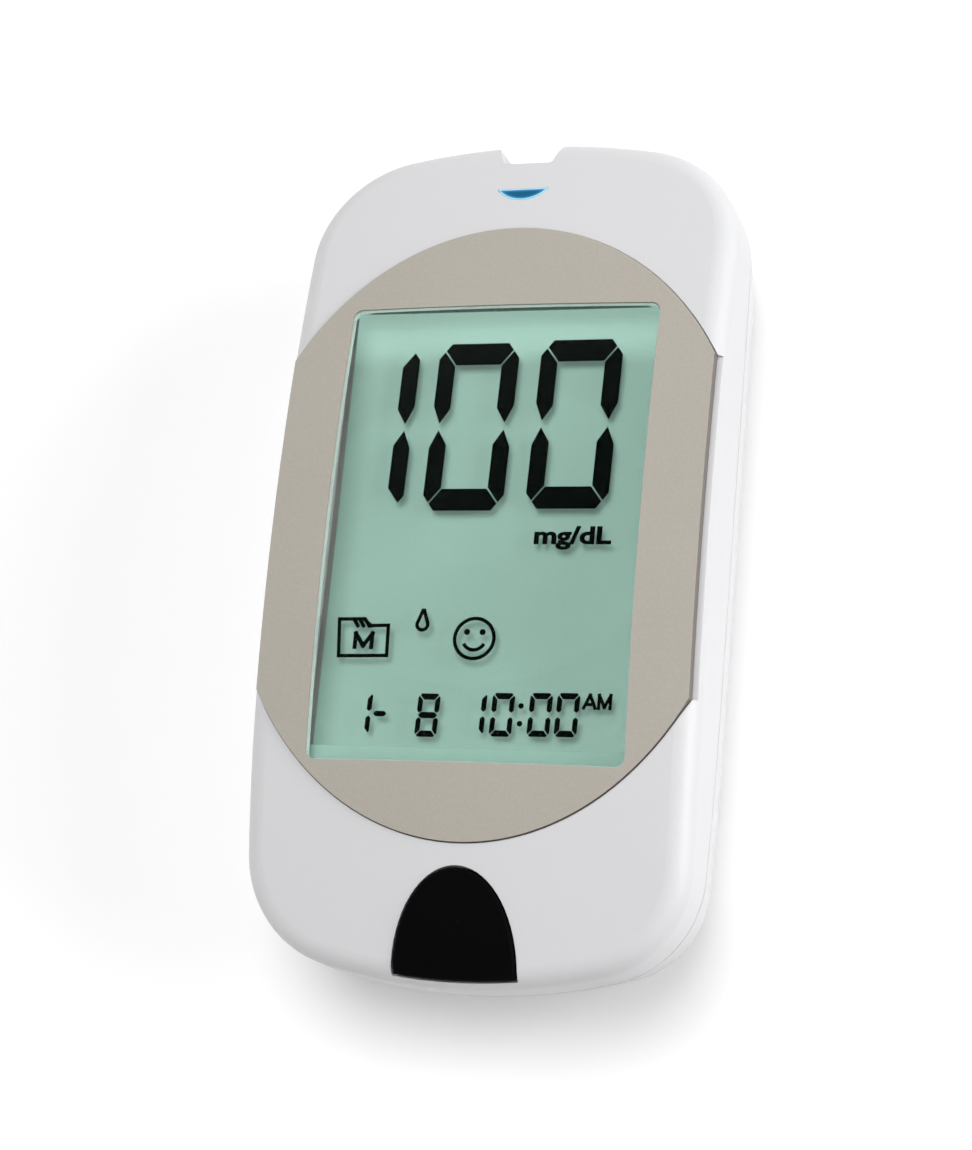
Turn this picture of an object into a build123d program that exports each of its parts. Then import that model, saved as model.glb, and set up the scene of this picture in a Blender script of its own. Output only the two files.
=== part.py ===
"""Blood glucose meter with a large display, two cells and a test strip port.

The meter lies on its flat back. X runs across it, +Y towards the strip port, +Z out of the display.
The origin is the centre of the footprint, on the back. Millimetres.
"""
from build123d import *
from math import atan, degrees, sqrt
import os

# ---------------------------------------------------------------- case
CASE_WIDTH = 50.0
BUTTON_ZONE = 14.8          # case beyond the display plate at the end with the push button
PORT_ZONE = 11.8            # case beyond the display plate at the end with the strip port
PORT_END_RADIUS = 80.0      # bow of the end with the strip port
BUTTON_END_RADIUS = 60.0    # bow of the end with the push button
PORT_CORNER_RADIUS = 13.0
BUTTON_CORNER_RADIUS = 12.0
SIDE_BOW_RADIUS = 500.0     # the sides draw in a little from the display plate to the push button
FACE_RADIUS_ALONG = 200.0   # the face is domed both ways
FACE_RADIUS_ACROSS = 300.0
FACE_EDGE_RADIUS = 2.6
FACE_WALL = 2.4
THIN_FACE_WALL = 1.6        # round the push button and the port light
THIN_FACE_MARGIN = 1.0
SIDE_WALL = 1.6
BACK_WALL = 1.7
BACK_TAPER = 10.0           # degrees
BACK_EDGE_RADIUS = 3.5
SEAM_GAP = 0.15
LIP_WALL = 0.8
LIP_HEIGHT = 1.3
LIP_ROOT = 1.6              # how far the lip reaches down along the wall
LIP_CLEARANCE = 0.15

# ---------------------------------------------------------------- strip port
NOTCH_MOUTH = 8.0
NOTCH_FLOOR = 5.6
NOTCH_DEPTH = 3.0
NOTCH_MOUTH_RADIUS = 0.9
NOTCH_FLOOR_RADIUS = 0.5
STRIP_BELOW_BOARD = 1.2     # underside of the board to the middle of a test strip
SLOT_SILL = 0.6             # front half of the case below the slot
STRIP_SLOT_WIDTH = 5.4
STRIP_SLOT_HEIGHT = 1.0
CONNECTOR_WIDTH = 12.4
CONNECTOR_LENGTH = 13.0
CONNECTOR_CONTACTS = 4
CONTACT_PITCH = 1.15
CONTACT_WIDTH = 0.6
CONTACT_THICKNESS = 0.18
CONTACT_CLEARANCE = 0.15
CONTACT_SLOT = 10.0
CONTACT_TAIL = 0.6          # behind the connector
CONTACT_DIP = 0.1           # below the middle of the strip's slot
CONNECTOR_STOP = 2.0        # solid end that stops the strip
FUNNEL = 0.4
FUNNEL_DEPTH = 0.8
LIGHT_WIDTH = 5.8
LIGHT_HEIGHT = 1.4
LIGHT_FROM_NOTCH = 3.5      # notch floor to the straight edge of the light
LIGHT_PROUD = 0.05
LIGHT_CLEARANCE = 0.05
LIGHT_COLLAR = 0.6
LIGHT_SIGHT_GAP = 0.2       # light guide to its lamp
LED_WIDTH = 1.6
LED_LENGTH = 0.8
LED_HEIGHT = 0.7
CONNECTOR_GAP = 0.3         # connector to the inside of the case end
CONNECTOR_WALL = 1.6
CONNECTOR_BAY_GAP = 1.2     # battery bay to the connector, at the least

# ---------------------------------------------------------------- display
PLATE_TOP_BORDER = 9.75     # plate beyond the window towards the port
PLATE_LOW_BORDER = 8.25     # plate beyond the window towards the push button
PLATE_SIDE_INSET = 0.9      # straight edges of the plate inside the sides of the case
PLATE_CORNER_LAND = 0.94    # of the plate's ellipse beyond the lower corners of the window
PLATE_PROUD = 0.3
PLATE_THICKNESS = 1.5
PLATE_CLEARANCE = 0.1       # to the step that it lies in
PLATE_SEAT_GAP = 0.05
PLATE_LAND = 0.4            # of the plate round what passes through the case
DISPLAY_SUNK = 4.0          # display below the top of the dome
WINDOW_LENGTH = 51.4
WINDOW_WIDTH = 35.4
WINDOW_CORNER_RADIUS = 1.0
LENS_CLEARANCE = 0.08       # lens in the window of the plate
LENS_SUNK = 0.15            # lens below the surface of the plate
LENS_RIM = 1.4              # rim of the lens under the plate
LENS_RIM_THICKNESS = 0.45
LENS_GAP = 0.1              # lens to the front polariser, at the least
SHELL_WINDOW_GAP = 0.2
POLARISER_THICKNESS = 0.2
GLASS_THICKNESS = 1.1
GLASS_RIM = 1.4             # display glass beyond the window
POLARISER_INSET = 0.6
REFLECTOR_THICKNESS = 0.3
GLASS_LEDGE = 2.8           # front glass beyond the rear glass, for the contact strip
ZEBRA_WIDTH = 1.8
HOLDER_WALL = 1.2
HOLDER_FLOOR = 0.8
HOLDER_GAP = 0.15
HOLDER_DROP = 0.25          # rim below the underside of the front glass

# ---------------------------------------------------------------- buttons
ARCH_HALF_WIDTH = 6.75
ARCH_HEIGHT = 10.75
ARCH_BASE = 1.5             # centre of the arch above the end of the case
ARCH_RIM = 0.8
BUTTON_PROUD = 0.3
BUTTON_CLEARANCE = 0.2
BUTTON_FLANGE = 1.0
FLANGE_THICKNESS = 0.8
FLANGE_GAP = 0.1
BUTTON_WALL = 1.3
BUTTON_TRAVEL = 0.5
BUTTON_TOP_EDGE = 0.35
SWITCH_CORNER = 0.4
BUTTON_STEM_RADIUS = 1.8
MAIN_SWITCH_SIZE = 4.5
MAIN_SWITCH_HEIGHT = 1.1
PLUNGER_RADIUS = 1.2
PLUNGER_CLEARANCE = 0.06
PLUNGER_SHOWN = 0.6
PLUNGER_SEATED = 0.3
SET_FLANGE_GAP = 0.05
SET_BUTTON_RADIUS = 2.2
SET_BUTTON_CLEARANCE = 0.1
SET_BUTTON_FLANGE = 3.1
SET_BUTTON_SHOWN = 1.4
SET_SWITCH_SIZE = 6.0
SET_SWITCH_HEIGHT = 3.5

# ---------------------------------------------------------------- battery bay
CELL_LENGTH = 44.5
CELL_RADIUS = 5.25
CELL_NUB_RADIUS = 1.9
CELL_NUB_LENGTH = 1.2
CELL_EDGE_RADIUS = 0.4
CONTACT_GAP = 0.05          # cells and springs to the plates that they touch
CELL_SPACING = 11.2
CELL_CLEARANCE = 0.3
BAY_FROM_END = 13.7         # end of the case to the bay
BAY_WALL = 1.2
BAY_CEILING = 0.9
SPRING_LENGTH = 3.8
SPRING_RADIUS = 3.2
SPRING_TIP_RADIUS = 2.1
SPRING_WIRE = 0.5
SPRING_TURNS = 3.0
PLATE_METAL = 0.4
CONTACT_PLATE_WIDTH = 8.0
CONTACT_PLATE_DROP = 2.8    # below the axis of the cells
CONTACT_PLATE_GAP = 0.4     # below the ceiling of the bay
TAIL_WIDTH = 1.6
TAIL_CLEARANCE = 0.2
SET_POCKET_LENGTH = 7.4
SET_SHELF_HEIGHT = 8.0
SET_SHELF_THICKNESS = 1.0

# ---------------------------------------------------------------- battery cover
COVER_THICKNESS = 1.3
COVER_SUNK = 0.2
COVER_CLEARANCE = 0.2
COVER_LEDGE = 0.8           # opening beyond the bay on every side
COVER_CORNER_RADIUS = 1.5
TOE_WIDTH = 3.0
TOE_LENGTH = 2.6
TOE_THICKNESS = 1.0
TOE_POSITION = 9.4
TOE_STEP = 0.4              # toes above the top of the cover
TOE_SLOT_CLEARANCE = 0.3
LATCH_WIDTH = 8.0
LATCH_HEIGHT = 3.4
LATCH_THICKNESS = 0.8
LATCH_GAP = 0.4
COVER_EDGE = 0.2
GRIP_RIBS = 3
GRIP_FROM_END = 3.0
GRIP_PITCH = 1.6
GRIP_GROOVE = 0.6
GRIP_WIDTH = 12.0
GRIP_DEPTH = 0.35
THUMB_RADIUS = 8.0
THUMB_DEPTH = 0.9
THUMB_FROM_COVER = 1.0

# ---------------------------------------------------------------- board
BOARD_THICKNESS = 1.0
BOARD_GAP = 0.3             # bay ceiling to the underside of the board
BOARD_SIDE_GAP = 2.4
BOARD_SCREW_GAP = 2.1       # ends of the board to the screw bosses
BOARD_CORNER_RADIUS = 2.0
TONGUE_SCREW_GAP = 0.7      # sides of its tongues to the screw bosses
BOARD_END_GAP = 0.4
POST_RADIUS = 1.6
PIN_RADIUS = 0.9
PIN_CLEARANCE = 0.1
POST_FROM_SIDE = 3.5
POST_FROM_END = 7.5
PRESS_POST_RADIUS = 1.2
PRESS_POST_GAP = 0.05
BOARD_BUTTON_GAP = 2.4
PROCESSOR_SIZE = 10.0
PROCESSOR_ABOVE = 7.2       # centre of the processor above the middle of the window
CHIP_HEIGHT = 1.0
CHIP_EDGE = 0.15
SMALL_CHIP_HEIGHT = 0.8
MEMORY_WIDTH = 4.0
MEMORY_LENGTH = 5.0
MEMORY_ASIDE = 10.0
MEMORY_BELOW = 6.8          # centre of the memory below the middle of the window
CRYSTAL_WIDTH = 1.5
CRYSTAL_LENGTH = 3.2
CRYSTAL_GAP = 3.2           # processor to the clock crystal
CRYSTAL_ABOVE = 4.0         # above the centre of the processor
SENSOR_CHIP_SIZE = 4.0
SENSOR_CHIP_ASIDE = 7.0
SENSOR_CHIP_FROM_WALL = 4.9  # centre of the chip to the inside of the case end
PASSIVE_COLUMNS = 2
PASSIVE_ROWS = 4
PASSIVE_LENGTH = 1.6
PASSIVE_WIDTH = 0.8
PASSIVE_HEIGHT = 0.6
PASSIVE_EDGE = 0.1
PASSIVE_GAP = 3.2           # processor to the first column
PASSIVE_ACROSS = 3.0        # from column to column
PASSIVE_PITCH = 3.2         # from row to row
CHIP_GAP = 0.2              # chips to the floor of the display holder
BUZZER_GAP = 0.6
BUZZER_RADIUS = 3.2
BUZZER_HEIGHT = 2.5
BUZZER_HOLE = 0.8

# ---------------------------------------------------------------- screws and label
SCREW_FROM_SIDE = 8.0
SCREW_FROM_END = 11.5
SCREW_RADIUS = 1.0
SCREW_HEAD_RADIUS = 1.9
SCREW_HEAD_HEIGHT = 1.4
SCREW_HEAD_EDGE = 0.3
SCREW_SUNK = 2.6
SCREW_LENGTH = 10.0
PILOT_CLEARANCE = 0.02
PILOT_SPARE = 0.5           # pilot hole beyond the tip of the screw
SCREW_HOLE_CLEARANCE = 0.15
BOSS_WALL = 1.9
CROSS_SLOT = 0.5
CROSS_LENGTH = 2.2
CROSS_DEPTH = 0.7
LABEL_FROM_COVER = 5.5
LABEL_LENGTH = 9.0
LABEL_WIDTH = 24.0
LABEL_THICKNESS = 0.15
LABEL_SUNK = 0.1
LABEL_GAP = 0.2
LABEL_CORNER_RADIUS = 0.8

PAST = 1.0                  # how far a cut runs past the face that it opens

# ---------------------------------------------------------------- worked out from the sizes above
HALF_WIDTH = CASE_WIDTH / 2
PLATE_SEMI_LENGTH = (WINDOW_LENGTH + PLATE_TOP_BORDER + PLATE_LOW_BORDER) / 2
PLATE_HALF_WIDTH = HALF_WIDTH - PLATE_SIDE_INSET
WINDOW_RAISED = (PLATE_LOW_BORDER - PLATE_TOP_BORDER) / 2
WINDOW_CORNER_HEIGHT = sqrt(1 - ((WINDOW_LENGTH / 2 - WINDOW_RAISED) / PLATE_SEMI_LENGTH) ** 2)
PLATE_SEMI_WIDTH = (WINDOW_WIDTH / 2 + PLATE_CORNER_LAND) / WINDOW_CORNER_HEIGHT
BAY_LENGTH = CELL_LENGTH + SPRING_LENGTH + 2 * PLATE_METAL + CELL_CLEARANCE
OPENING_BEYOND_BAY = BAY_WALL + SET_POCKET_LENGTH + COVER_LEDGE
BAY_ZONE = BAY_FROM_END + BAY_LENGTH + OPENING_BEYOND_BAY + BAY_WALL
CONNECTOR_ZONE = CONNECTOR_BAY_GAP + CONNECTOR_LENGTH + CONNECTOR_GAP + SIDE_WALL + NOTCH_DEPTH
FACE_LENGTH = BUTTON_ZONE + 2 * PLATE_SEMI_LENGTH + PORT_ZONE
CASE_LENGTH = max(FACE_LENGTH, BAY_ZONE + CONNECTOR_ZONE)
PORT_END = CASE_LENGTH / 2
BUTTON_END = -CASE_LENGTH / 2
PLATE_CENTRE = BUTTON_END + BUTTON_ZONE + PLATE_SEMI_LENGTH
WINDOW_CENTRE = PLATE_CENTRE + WINDOW_RAISED
PLATE_HALF_STRAIGHT = PLATE_SEMI_LENGTH * sqrt(1 - (PLATE_HALF_WIDTH / PLATE_SEMI_WIDTH) ** 2)
PLATE_STRAIGHT_LOW = PLATE_CENTRE - PLATE_HALF_STRAIGHT
NOTCH_Y = PORT_END - NOTCH_DEPTH
PORT_WALL_Y = NOTCH_Y - SIDE_WALL
LIGHT_Y = NOTCH_Y - LIGHT_FROM_NOTCH
ARCH_Y = BUTTON_END + ARCH_BASE
BUTTON_Y = ARCH_Y + ARCH_HEIGHT / 2

COVER_TOP = COVER_SUNK + COVER_THICKNESS
CELL_Z = COVER_TOP + CELL_CLEARANCE + CELL_RADIUS
BAY_TOP = CELL_Z + CELL_RADIUS + CELL_CLEARANCE
BAY_HALF_WIDTH = CELL_SPACING / 2 + CELL_RADIUS + CELL_CLEARANCE
BAY_LOW = BUTTON_END + BAY_FROM_END
BAY_HIGH = BAY_LOW + BAY_LENGTH
POCKET_LOW = BAY_HIGH + BAY_WALL
POCKET_HIGH = POCKET_LOW + SET_POCKET_LENGTH
SET_BUTTON_Y = (POCKET_LOW + POCKET_HIGH) / 2
OPENING_LOW = BAY_LOW - COVER_LEDGE - BAY_WALL
OPENING_HIGH = POCKET_HIGH + COVER_LEDGE
OPENING_HALF_WIDTH = BAY_HALF_WIDTH + COVER_LEDGE

BOARD_BOTTOM = BAY_TOP + BAY_CEILING + BOARD_GAP
BOARD_TOP = BOARD_BOTTOM + BOARD_THICKNESS
STRIP_HEIGHT = BOARD_BOTTOM - STRIP_BELOW_BOARD
SEAM_HEIGHT = STRIP_HEIGHT - STRIP_SLOT_HEIGHT / 2 - SLOT_SILL

REFLECTOR_BOTTOM = BOARD_TOP + CHIP_HEIGHT + CHIP_GAP + HOLDER_FLOOR
REAR_GLASS_BOTTOM = REFLECTOR_BOTTOM + REFLECTOR_THICKNESS
FRONT_GLASS_BOTTOM = REAR_GLASS_BOTTOM + GLASS_THICKNESS
FRONT_GLASS_TOP = FRONT_GLASS_BOTTOM + GLASS_THICKNESS
POLARISER_TOP = FRONT_GLASS_TOP + POLARISER_THICKNESS
CASE_DEPTH = POLARISER_TOP + DISPLAY_SUNK
ABOVE = CASE_DEPTH + 5.0    # clear of the dome
BELOW = -5.0                # clear of the back
PLATE_UNDER = PLATE_PROUD - PLATE_THICKNESS
GLASS_LENGTH = WINDOW_LENGTH + 2 * GLASS_RIM
GLASS_WIDTH = WINDOW_WIDTH + 2 * GLASS_RIM

BOSS_RADIUS = SCREW_RADIUS + BOSS_WALL
SCREW_ACROSS = HALF_WIDTH - SCREW_FROM_SIDE
SCREW_ALONG = PORT_END - SCREW_FROM_END
BOARD_HALF_WIDTH = HALF_WIDTH - SIDE_WALL - BOARD_SIDE_GAP
BOARD_HALF_LENGTH = SCREW_ALONG - BOSS_RADIUS - BOARD_SCREW_GAP
TONGUE_HALF_WIDTH = SCREW_ACROSS - BOSS_RADIUS - TONGUE_SCREW_GAP
POST_ACROSS = BOARD_HALF_WIDTH - POST_FROM_SIDE
POST_ALONG = BOARD_HALF_LENGTH - POST_FROM_END
LABEL_Y = OPENING_HIGH + LABEL_FROM_COVER + LABEL_LENGTH / 2
PROCESSOR_Y = WINDOW_CENTRE + PROCESSOR_ABOVE


def face_height(x, y):
    """Height of the domed face above the back."""
    across = FACE_RADIUS_ACROSS - sqrt(FACE_RADIUS_ACROSS**2 - x**2)
    return CASE_DEPTH - FACE_RADIUS_ALONG + sqrt((FACE_RADIUS_ALONG - across) ** 2 - y**2)


def dome(offset):
    """Solid whose top is the domed face moved up by offset; it is far larger than the case."""
    reach = CASE_WIDTH
    base = CASE_DEPTH - CASE_WIDTH
    radius = FACE_RADIUS_ACROSS + offset
    top = CASE_DEPTH + offset
    edge_z = top - radius + sqrt(radius**2 - reach**2)
    with BuildPart() as solid:
        with BuildSketch(Plane.XZ):
            with BuildLine():
                ThreePointArc((-reach, edge_z), (0, top), (reach, edge_z))
                Polyline((reach, edge_z), (reach, base), (-reach, base), (-reach, edge_z))
            make_face()
        sweep_angle = 40
        axis = Axis((0, 0, CASE_DEPTH - FACE_RADIUS_ALONG), (1, 0, 0))
        revolve(axis=axis, revolution_arc=sweep_angle)
    return solid.part.rotate(axis, -sweep_angle / 2)


def side_bow(y, radius):
    """How far the sides have drawn in at y, below the straight edges of the display plate."""
    return radius - sqrt(radius**2 - (PLATE_STRAIGHT_LOW - y) ** 2)


def outline(inset=0.0):
    """Plan of the case, moved inwards by inset: two long sides, two bowed ends and four round corners."""
    half = HALF_WIDTH - inset
    port_radius = PORT_END_RADIUS - inset
    button_radius = BUTTON_END_RADIUS - inset
    side_radius = SIDE_BOW_RADIUS - inset
    port_y = PORT_END - inset
    button_y = BUTTON_END + inset
    port_side = port_y - port_radius + sqrt(port_radius**2 - half**2)
    drawn_in = half - side_bow(BUTTON_END, side_radius)
    button_side = button_y + button_radius - sqrt(button_radius**2 - drawn_in**2)
    low_half = half - side_bow(button_side, side_radius)
    middle = (PLATE_STRAIGHT_LOW + button_side) / 2
    middle_half = half - side_bow(middle, side_radius)
    with BuildSketch() as plan:
        with BuildLine():
            ThreePointArc((-half, port_side), (0, port_y), (half, port_side))
            Line((half, port_side), (half, PLATE_STRAIGHT_LOW))
            ThreePointArc((half, PLATE_STRAIGHT_LOW), (middle_half, middle), (low_half, button_side))
            ThreePointArc((low_half, button_side), (0, button_y), (-low_half, button_side))
            ThreePointArc((-low_half, button_side), (-middle_half, middle), (-half, PLATE_STRAIGHT_LOW))
            Line((-half, PLATE_STRAIGHT_LOW), (-half, port_side))
        make_face()
        fillet(plan.vertices().filter_by_position(Axis.Y, 0, PORT_END), PORT_CORNER_RADIUS - inset)
        fillet(plan.vertices().group_by(Axis.Y)[0], BUTTON_CORNER_RADIUS - inset)
    return plan.sketch


def prism(sketch, low, high):
    """Upright solid of a plan between two heights."""
    return extrude(Pos(0, 0, low) * sketch, amount=high - low)


def block(x_low, x_high, y_low, y_high, z_low, z_high):
    """Box between two corners."""
    size = (x_high - x_low, y_high - y_low, z_high - z_low)
    middle = ((x_low + x_high) / 2, (y_low + y_high) / 2, (z_low + z_high) / 2)
    return Pos(*middle) * Box(*size)


def round_block(width, length, y, low, high, radius):
    """Box on the centre line with rounded upright corners."""
    return prism(Pos(0, y) * RectangleRounded(width, length, radius), low, high)


def rod(x, y, radius, low, high):
    """Upright cylinder."""
    return Pos(x, y, (low + high) / 2) * Cylinder(radius, high - low)


def notch_plan(wall=0.0):
    """Plan of the strip notch; a wall widens and deepens it."""
    slope = (NOTCH_MOUTH - NOTCH_FLOOR) / 2 / NOTCH_DEPTH
    side = wall * sqrt(1 + slope**2)
    floor_y = NOTCH_Y - wall
    beyond = PORT_END + NOTCH_DEPTH
    floor_half = NOTCH_FLOOR / 2 + side - wall * slope
    mouth_half = floor_half + slope * (beyond - floor_y)
    points = [(-floor_half, floor_y), (floor_half, floor_y), (mouth_half, beyond), (-mouth_half, beyond)]
    return make_face(Polyline(*points, close=True))


def notched_outline():
    """Plan of the front half: the case outline less the strip notch, whose corners are eased."""
    plan = outline() - notch_plan()
    for place, radius in ((0, NOTCH_FLOOR_RADIUS), (-1, NOTCH_MOUTH_RADIUS)):
        corners = plan.vertices().filter_by_position(Axis.X, -NOTCH_MOUTH, NOTCH_MOUTH)
        corners = corners.filter_by_position(Axis.Y, NOTCH_Y - NOTCH_DEPTH, PORT_END).group_by(Axis.Y)
        plan = fillet(corners[place], radius)
    return plan


def plate_plan(gap=0.0):
    """Plan of the display plate: an ellipse cut off straight at both sides."""
    ellipse = Ellipse(PLATE_SEMI_WIDTH + gap, PLATE_SEMI_LENGTH + gap)
    band = Rectangle(2 * (PLATE_HALF_WIDTH + gap), 3 * PLATE_SEMI_LENGTH)
    return Pos(0, PLATE_CENTRE) * (ellipse & band)


def arch_plan(gap=0.0, rim=ARCH_RIM):
    """Plan of the push button: half an ellipse whose base follows the end of the case."""
    half = ARCH_HALF_WIDTH + gap
    arch = Pos(0, ARCH_Y) * Ellipse(half, ARCH_HEIGHT + gap)
    base = Pos(0, ARCH_Y - ARCH_HEIGHT / 2) * Rectangle(2 * half, ARCH_HEIGHT)
    upper = Pos(0, ARCH_Y + CASE_LENGTH / 2) * Rectangle(CASE_WIDTH, CASE_LENGTH)
    return ((arch & upper) + base) & outline(rim)


def light_plan(gap=0.0):
    """Plan of the port light: a segment of a disc, straight towards the port."""
    radius = (LIGHT_HEIGHT**2 + (LIGHT_WIDTH / 2) ** 2) / (2 * LIGHT_HEIGHT)
    disc = Pos(0, LIGHT_Y - LIGHT_HEIGHT + radius) * Circle(radius + gap)
    cut = Pos(0, LIGHT_Y + gap - CASE_LENGTH / 2) * Rectangle(CASE_WIDTH, CASE_LENGTH)
    return disc & cut


def screw_places():
    return [(sx * SCREW_ACROSS, sy * SCREW_ALONG) for sx in (-1, 1) for sy in (-1, 1)]


def post_places():
    return [(sx * POST_ACROSS, sy * POST_ALONG) for sx in (-1, 1) for sy in (-1, 1)]


def press_post_places():
    across = TONGUE_HALF_WIDTH - 2 * PRESS_POST_RADIUS
    along = BOARD_HALF_LENGTH + 2 * PRESS_POST_RADIUS
    return [(sx * across, sy * along) for sx in (-1, 1) for sy in (-1, 1)]


# ---------------------------------------------------------------- case shells
def front_hollow():
    """Room inside the front half; the face is thinner round the push button and the port light."""
    inner = prism(outline(SIDE_WALL), BELOW, ABOVE)
    button_half = ARCH_HALF_WIDTH + BUTTON_FLANGE + THIN_FACE_MARGIN
    button_high = ARCH_Y + ARCH_HEIGHT + BUTTON_FLANGE + THIN_FACE_MARGIN
    thin = block(-button_half, button_half, BUTTON_END, button_high, BELOW, ABOVE)
    light_half = LIGHT_WIDTH / 2 + LIGHT_COLLAR + THIN_FACE_MARGIN
    light_low = LIGHT_Y - LIGHT_HEIGHT - LIGHT_COLLAR - THIN_FACE_MARGIN
    thin += block(-light_half, light_half, light_low, PORT_WALL_Y, BELOW, ABOVE)
    hollow = (inner & dome(-FACE_WALL)) + (inner & dome(-THIN_FACE_WALL) & thin)
    return hollow - prism(notch_plan(SIDE_WALL), BELOW, ABOVE)


def plate_step():
    """Room for the display plate, open to both sides of the case along its straight edges."""
    y_range = (PLATE_STRAIGHT_LOW, PLATE_STRAIGHT_LOW + 2 * PLATE_HALF_STRAIGHT)
    step = prism(plate_plan(PLATE_CLEARANCE), SEAM_HEIGHT, ABOVE)
    step += block(-CASE_WIDTH, CASE_WIDTH, *y_range, SEAM_HEIGHT, ABOVE)
    return step - dome(PLATE_UNDER - PLATE_SEAT_GAP)


def window_block(border, low, high):
    """Block of the window's size, wider by a border all round."""
    size = (WINDOW_WIDTH + 2 * border, WINDOW_LENGTH + 2 * border, WINDOW_CENTRE)
    return round_block(*size, low, high, WINDOW_CORNER_RADIUS)


def under_plate(border, low, high, gap=0.0):
    """Block round the window that stays a land's width inside the plate; gap widens both limits."""
    return window_block(border + gap, low, high) & prism(plate_plan(gap - PLATE_LAND), low, high)


def domed_block():
    """Solid front half, with its face domed and its rim rounded."""
    body = prism(outline(), SEAM_HEIGHT, ABOVE) & dome(0)
    rim = body.edges().filter_by(lambda edge: edge.bounding_box().min.Z > SEAM_HEIGHT + FACE_EDGE_RADIUS)
    return fillet(rim, FACE_EDGE_RADIUS)


def front_shell():
    body = domed_block() & prism(notched_outline(), SEAM_HEIGHT, ABOVE)
    body -= front_hollow()

    for x, y in screw_places():
        body += rod(x, y, BOSS_RADIUS, SEAM_HEIGHT, face_height(x, y) - FACE_WALL / 2)
    for x, y in press_post_places():
        body += rod(x, y, PRESS_POST_RADIUS, BOARD_TOP + PRESS_POST_GAP, face_height(x, y) - FACE_WALL / 2)
    for x, y in screw_places():
        pilot_top = SCREW_SUNK + SCREW_HEAD_HEIGHT + SCREW_LENGTH + PILOT_SPARE
        body -= rod(x, y, SCREW_RADIUS + PILOT_CLEARANCE, BELOW, pilot_top)

    body -= plate_step()
    body -= under_plate(LENS_RIM, SEAM_HEIGHT, ABOVE, SHELL_WINDOW_GAP)
    body -= glass_block(-HOLDER_GAP, 0, SEAM_HEIGHT, POLARISER_TOP + HOLDER_GAP)

    button_hole_low = face_height(0, BUTTON_END + SIDE_WALL) - THIN_FACE_WALL
    body -= prism(arch_plan(BUTTON_CLEARANCE, ARCH_RIM - BUTTON_CLEARANCE), button_hole_low, ABOVE)
    body -= prism(light_plan(LIGHT_CLEARANCE), BOARD_TOP, ABOVE)
    slot_x = (-STRIP_SLOT_WIDTH / 2, STRIP_SLOT_WIDTH / 2)
    slot_z = (STRIP_HEIGHT - STRIP_SLOT_HEIGHT / 2, STRIP_HEIGHT + STRIP_SLOT_HEIGHT / 2)
    return body - block(*slot_x, PORT_WALL_Y - PAST, NOTCH_Y + PAST, *slot_z)


def rear_form(inset, low):
    """Tapered rear half of the case, moved inwards by inset, from the seam down to low."""
    depth = SEAM_HEIGHT - SEAM_GAP - low
    plan = Pos(0, 0, SEAM_HEIGHT - SEAM_GAP) * outline(inset)
    form = extrude(plan, amount=depth, dir=(0, 0, -1), taper=BACK_TAPER)
    return fillet(form.edges().group_by(Axis.Z)[0], BACK_EDGE_RADIUS - inset)


def opening_block(gap, low, high):
    """Block of the battery opening's size, smaller by gap all round."""
    width = 2 * (OPENING_HALF_WIDTH - gap)
    length = OPENING_HIGH - OPENING_LOW - 2 * gap
    return round_block(width, length, (OPENING_HIGH + OPENING_LOW) / 2, low, high, COVER_CORNER_RADIUS - gap)


def toe_slot_top():
    """Height that the slots for the toes need, so that the toes clear them as the cover swings."""
    reach = sqrt((OPENING_LOW - toe_tip()) ** 2 + (COVER_TOP + TOE_STEP + TOE_THICKNESS) ** 2)
    return reach + TOE_SLOT_CLEARANCE


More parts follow.
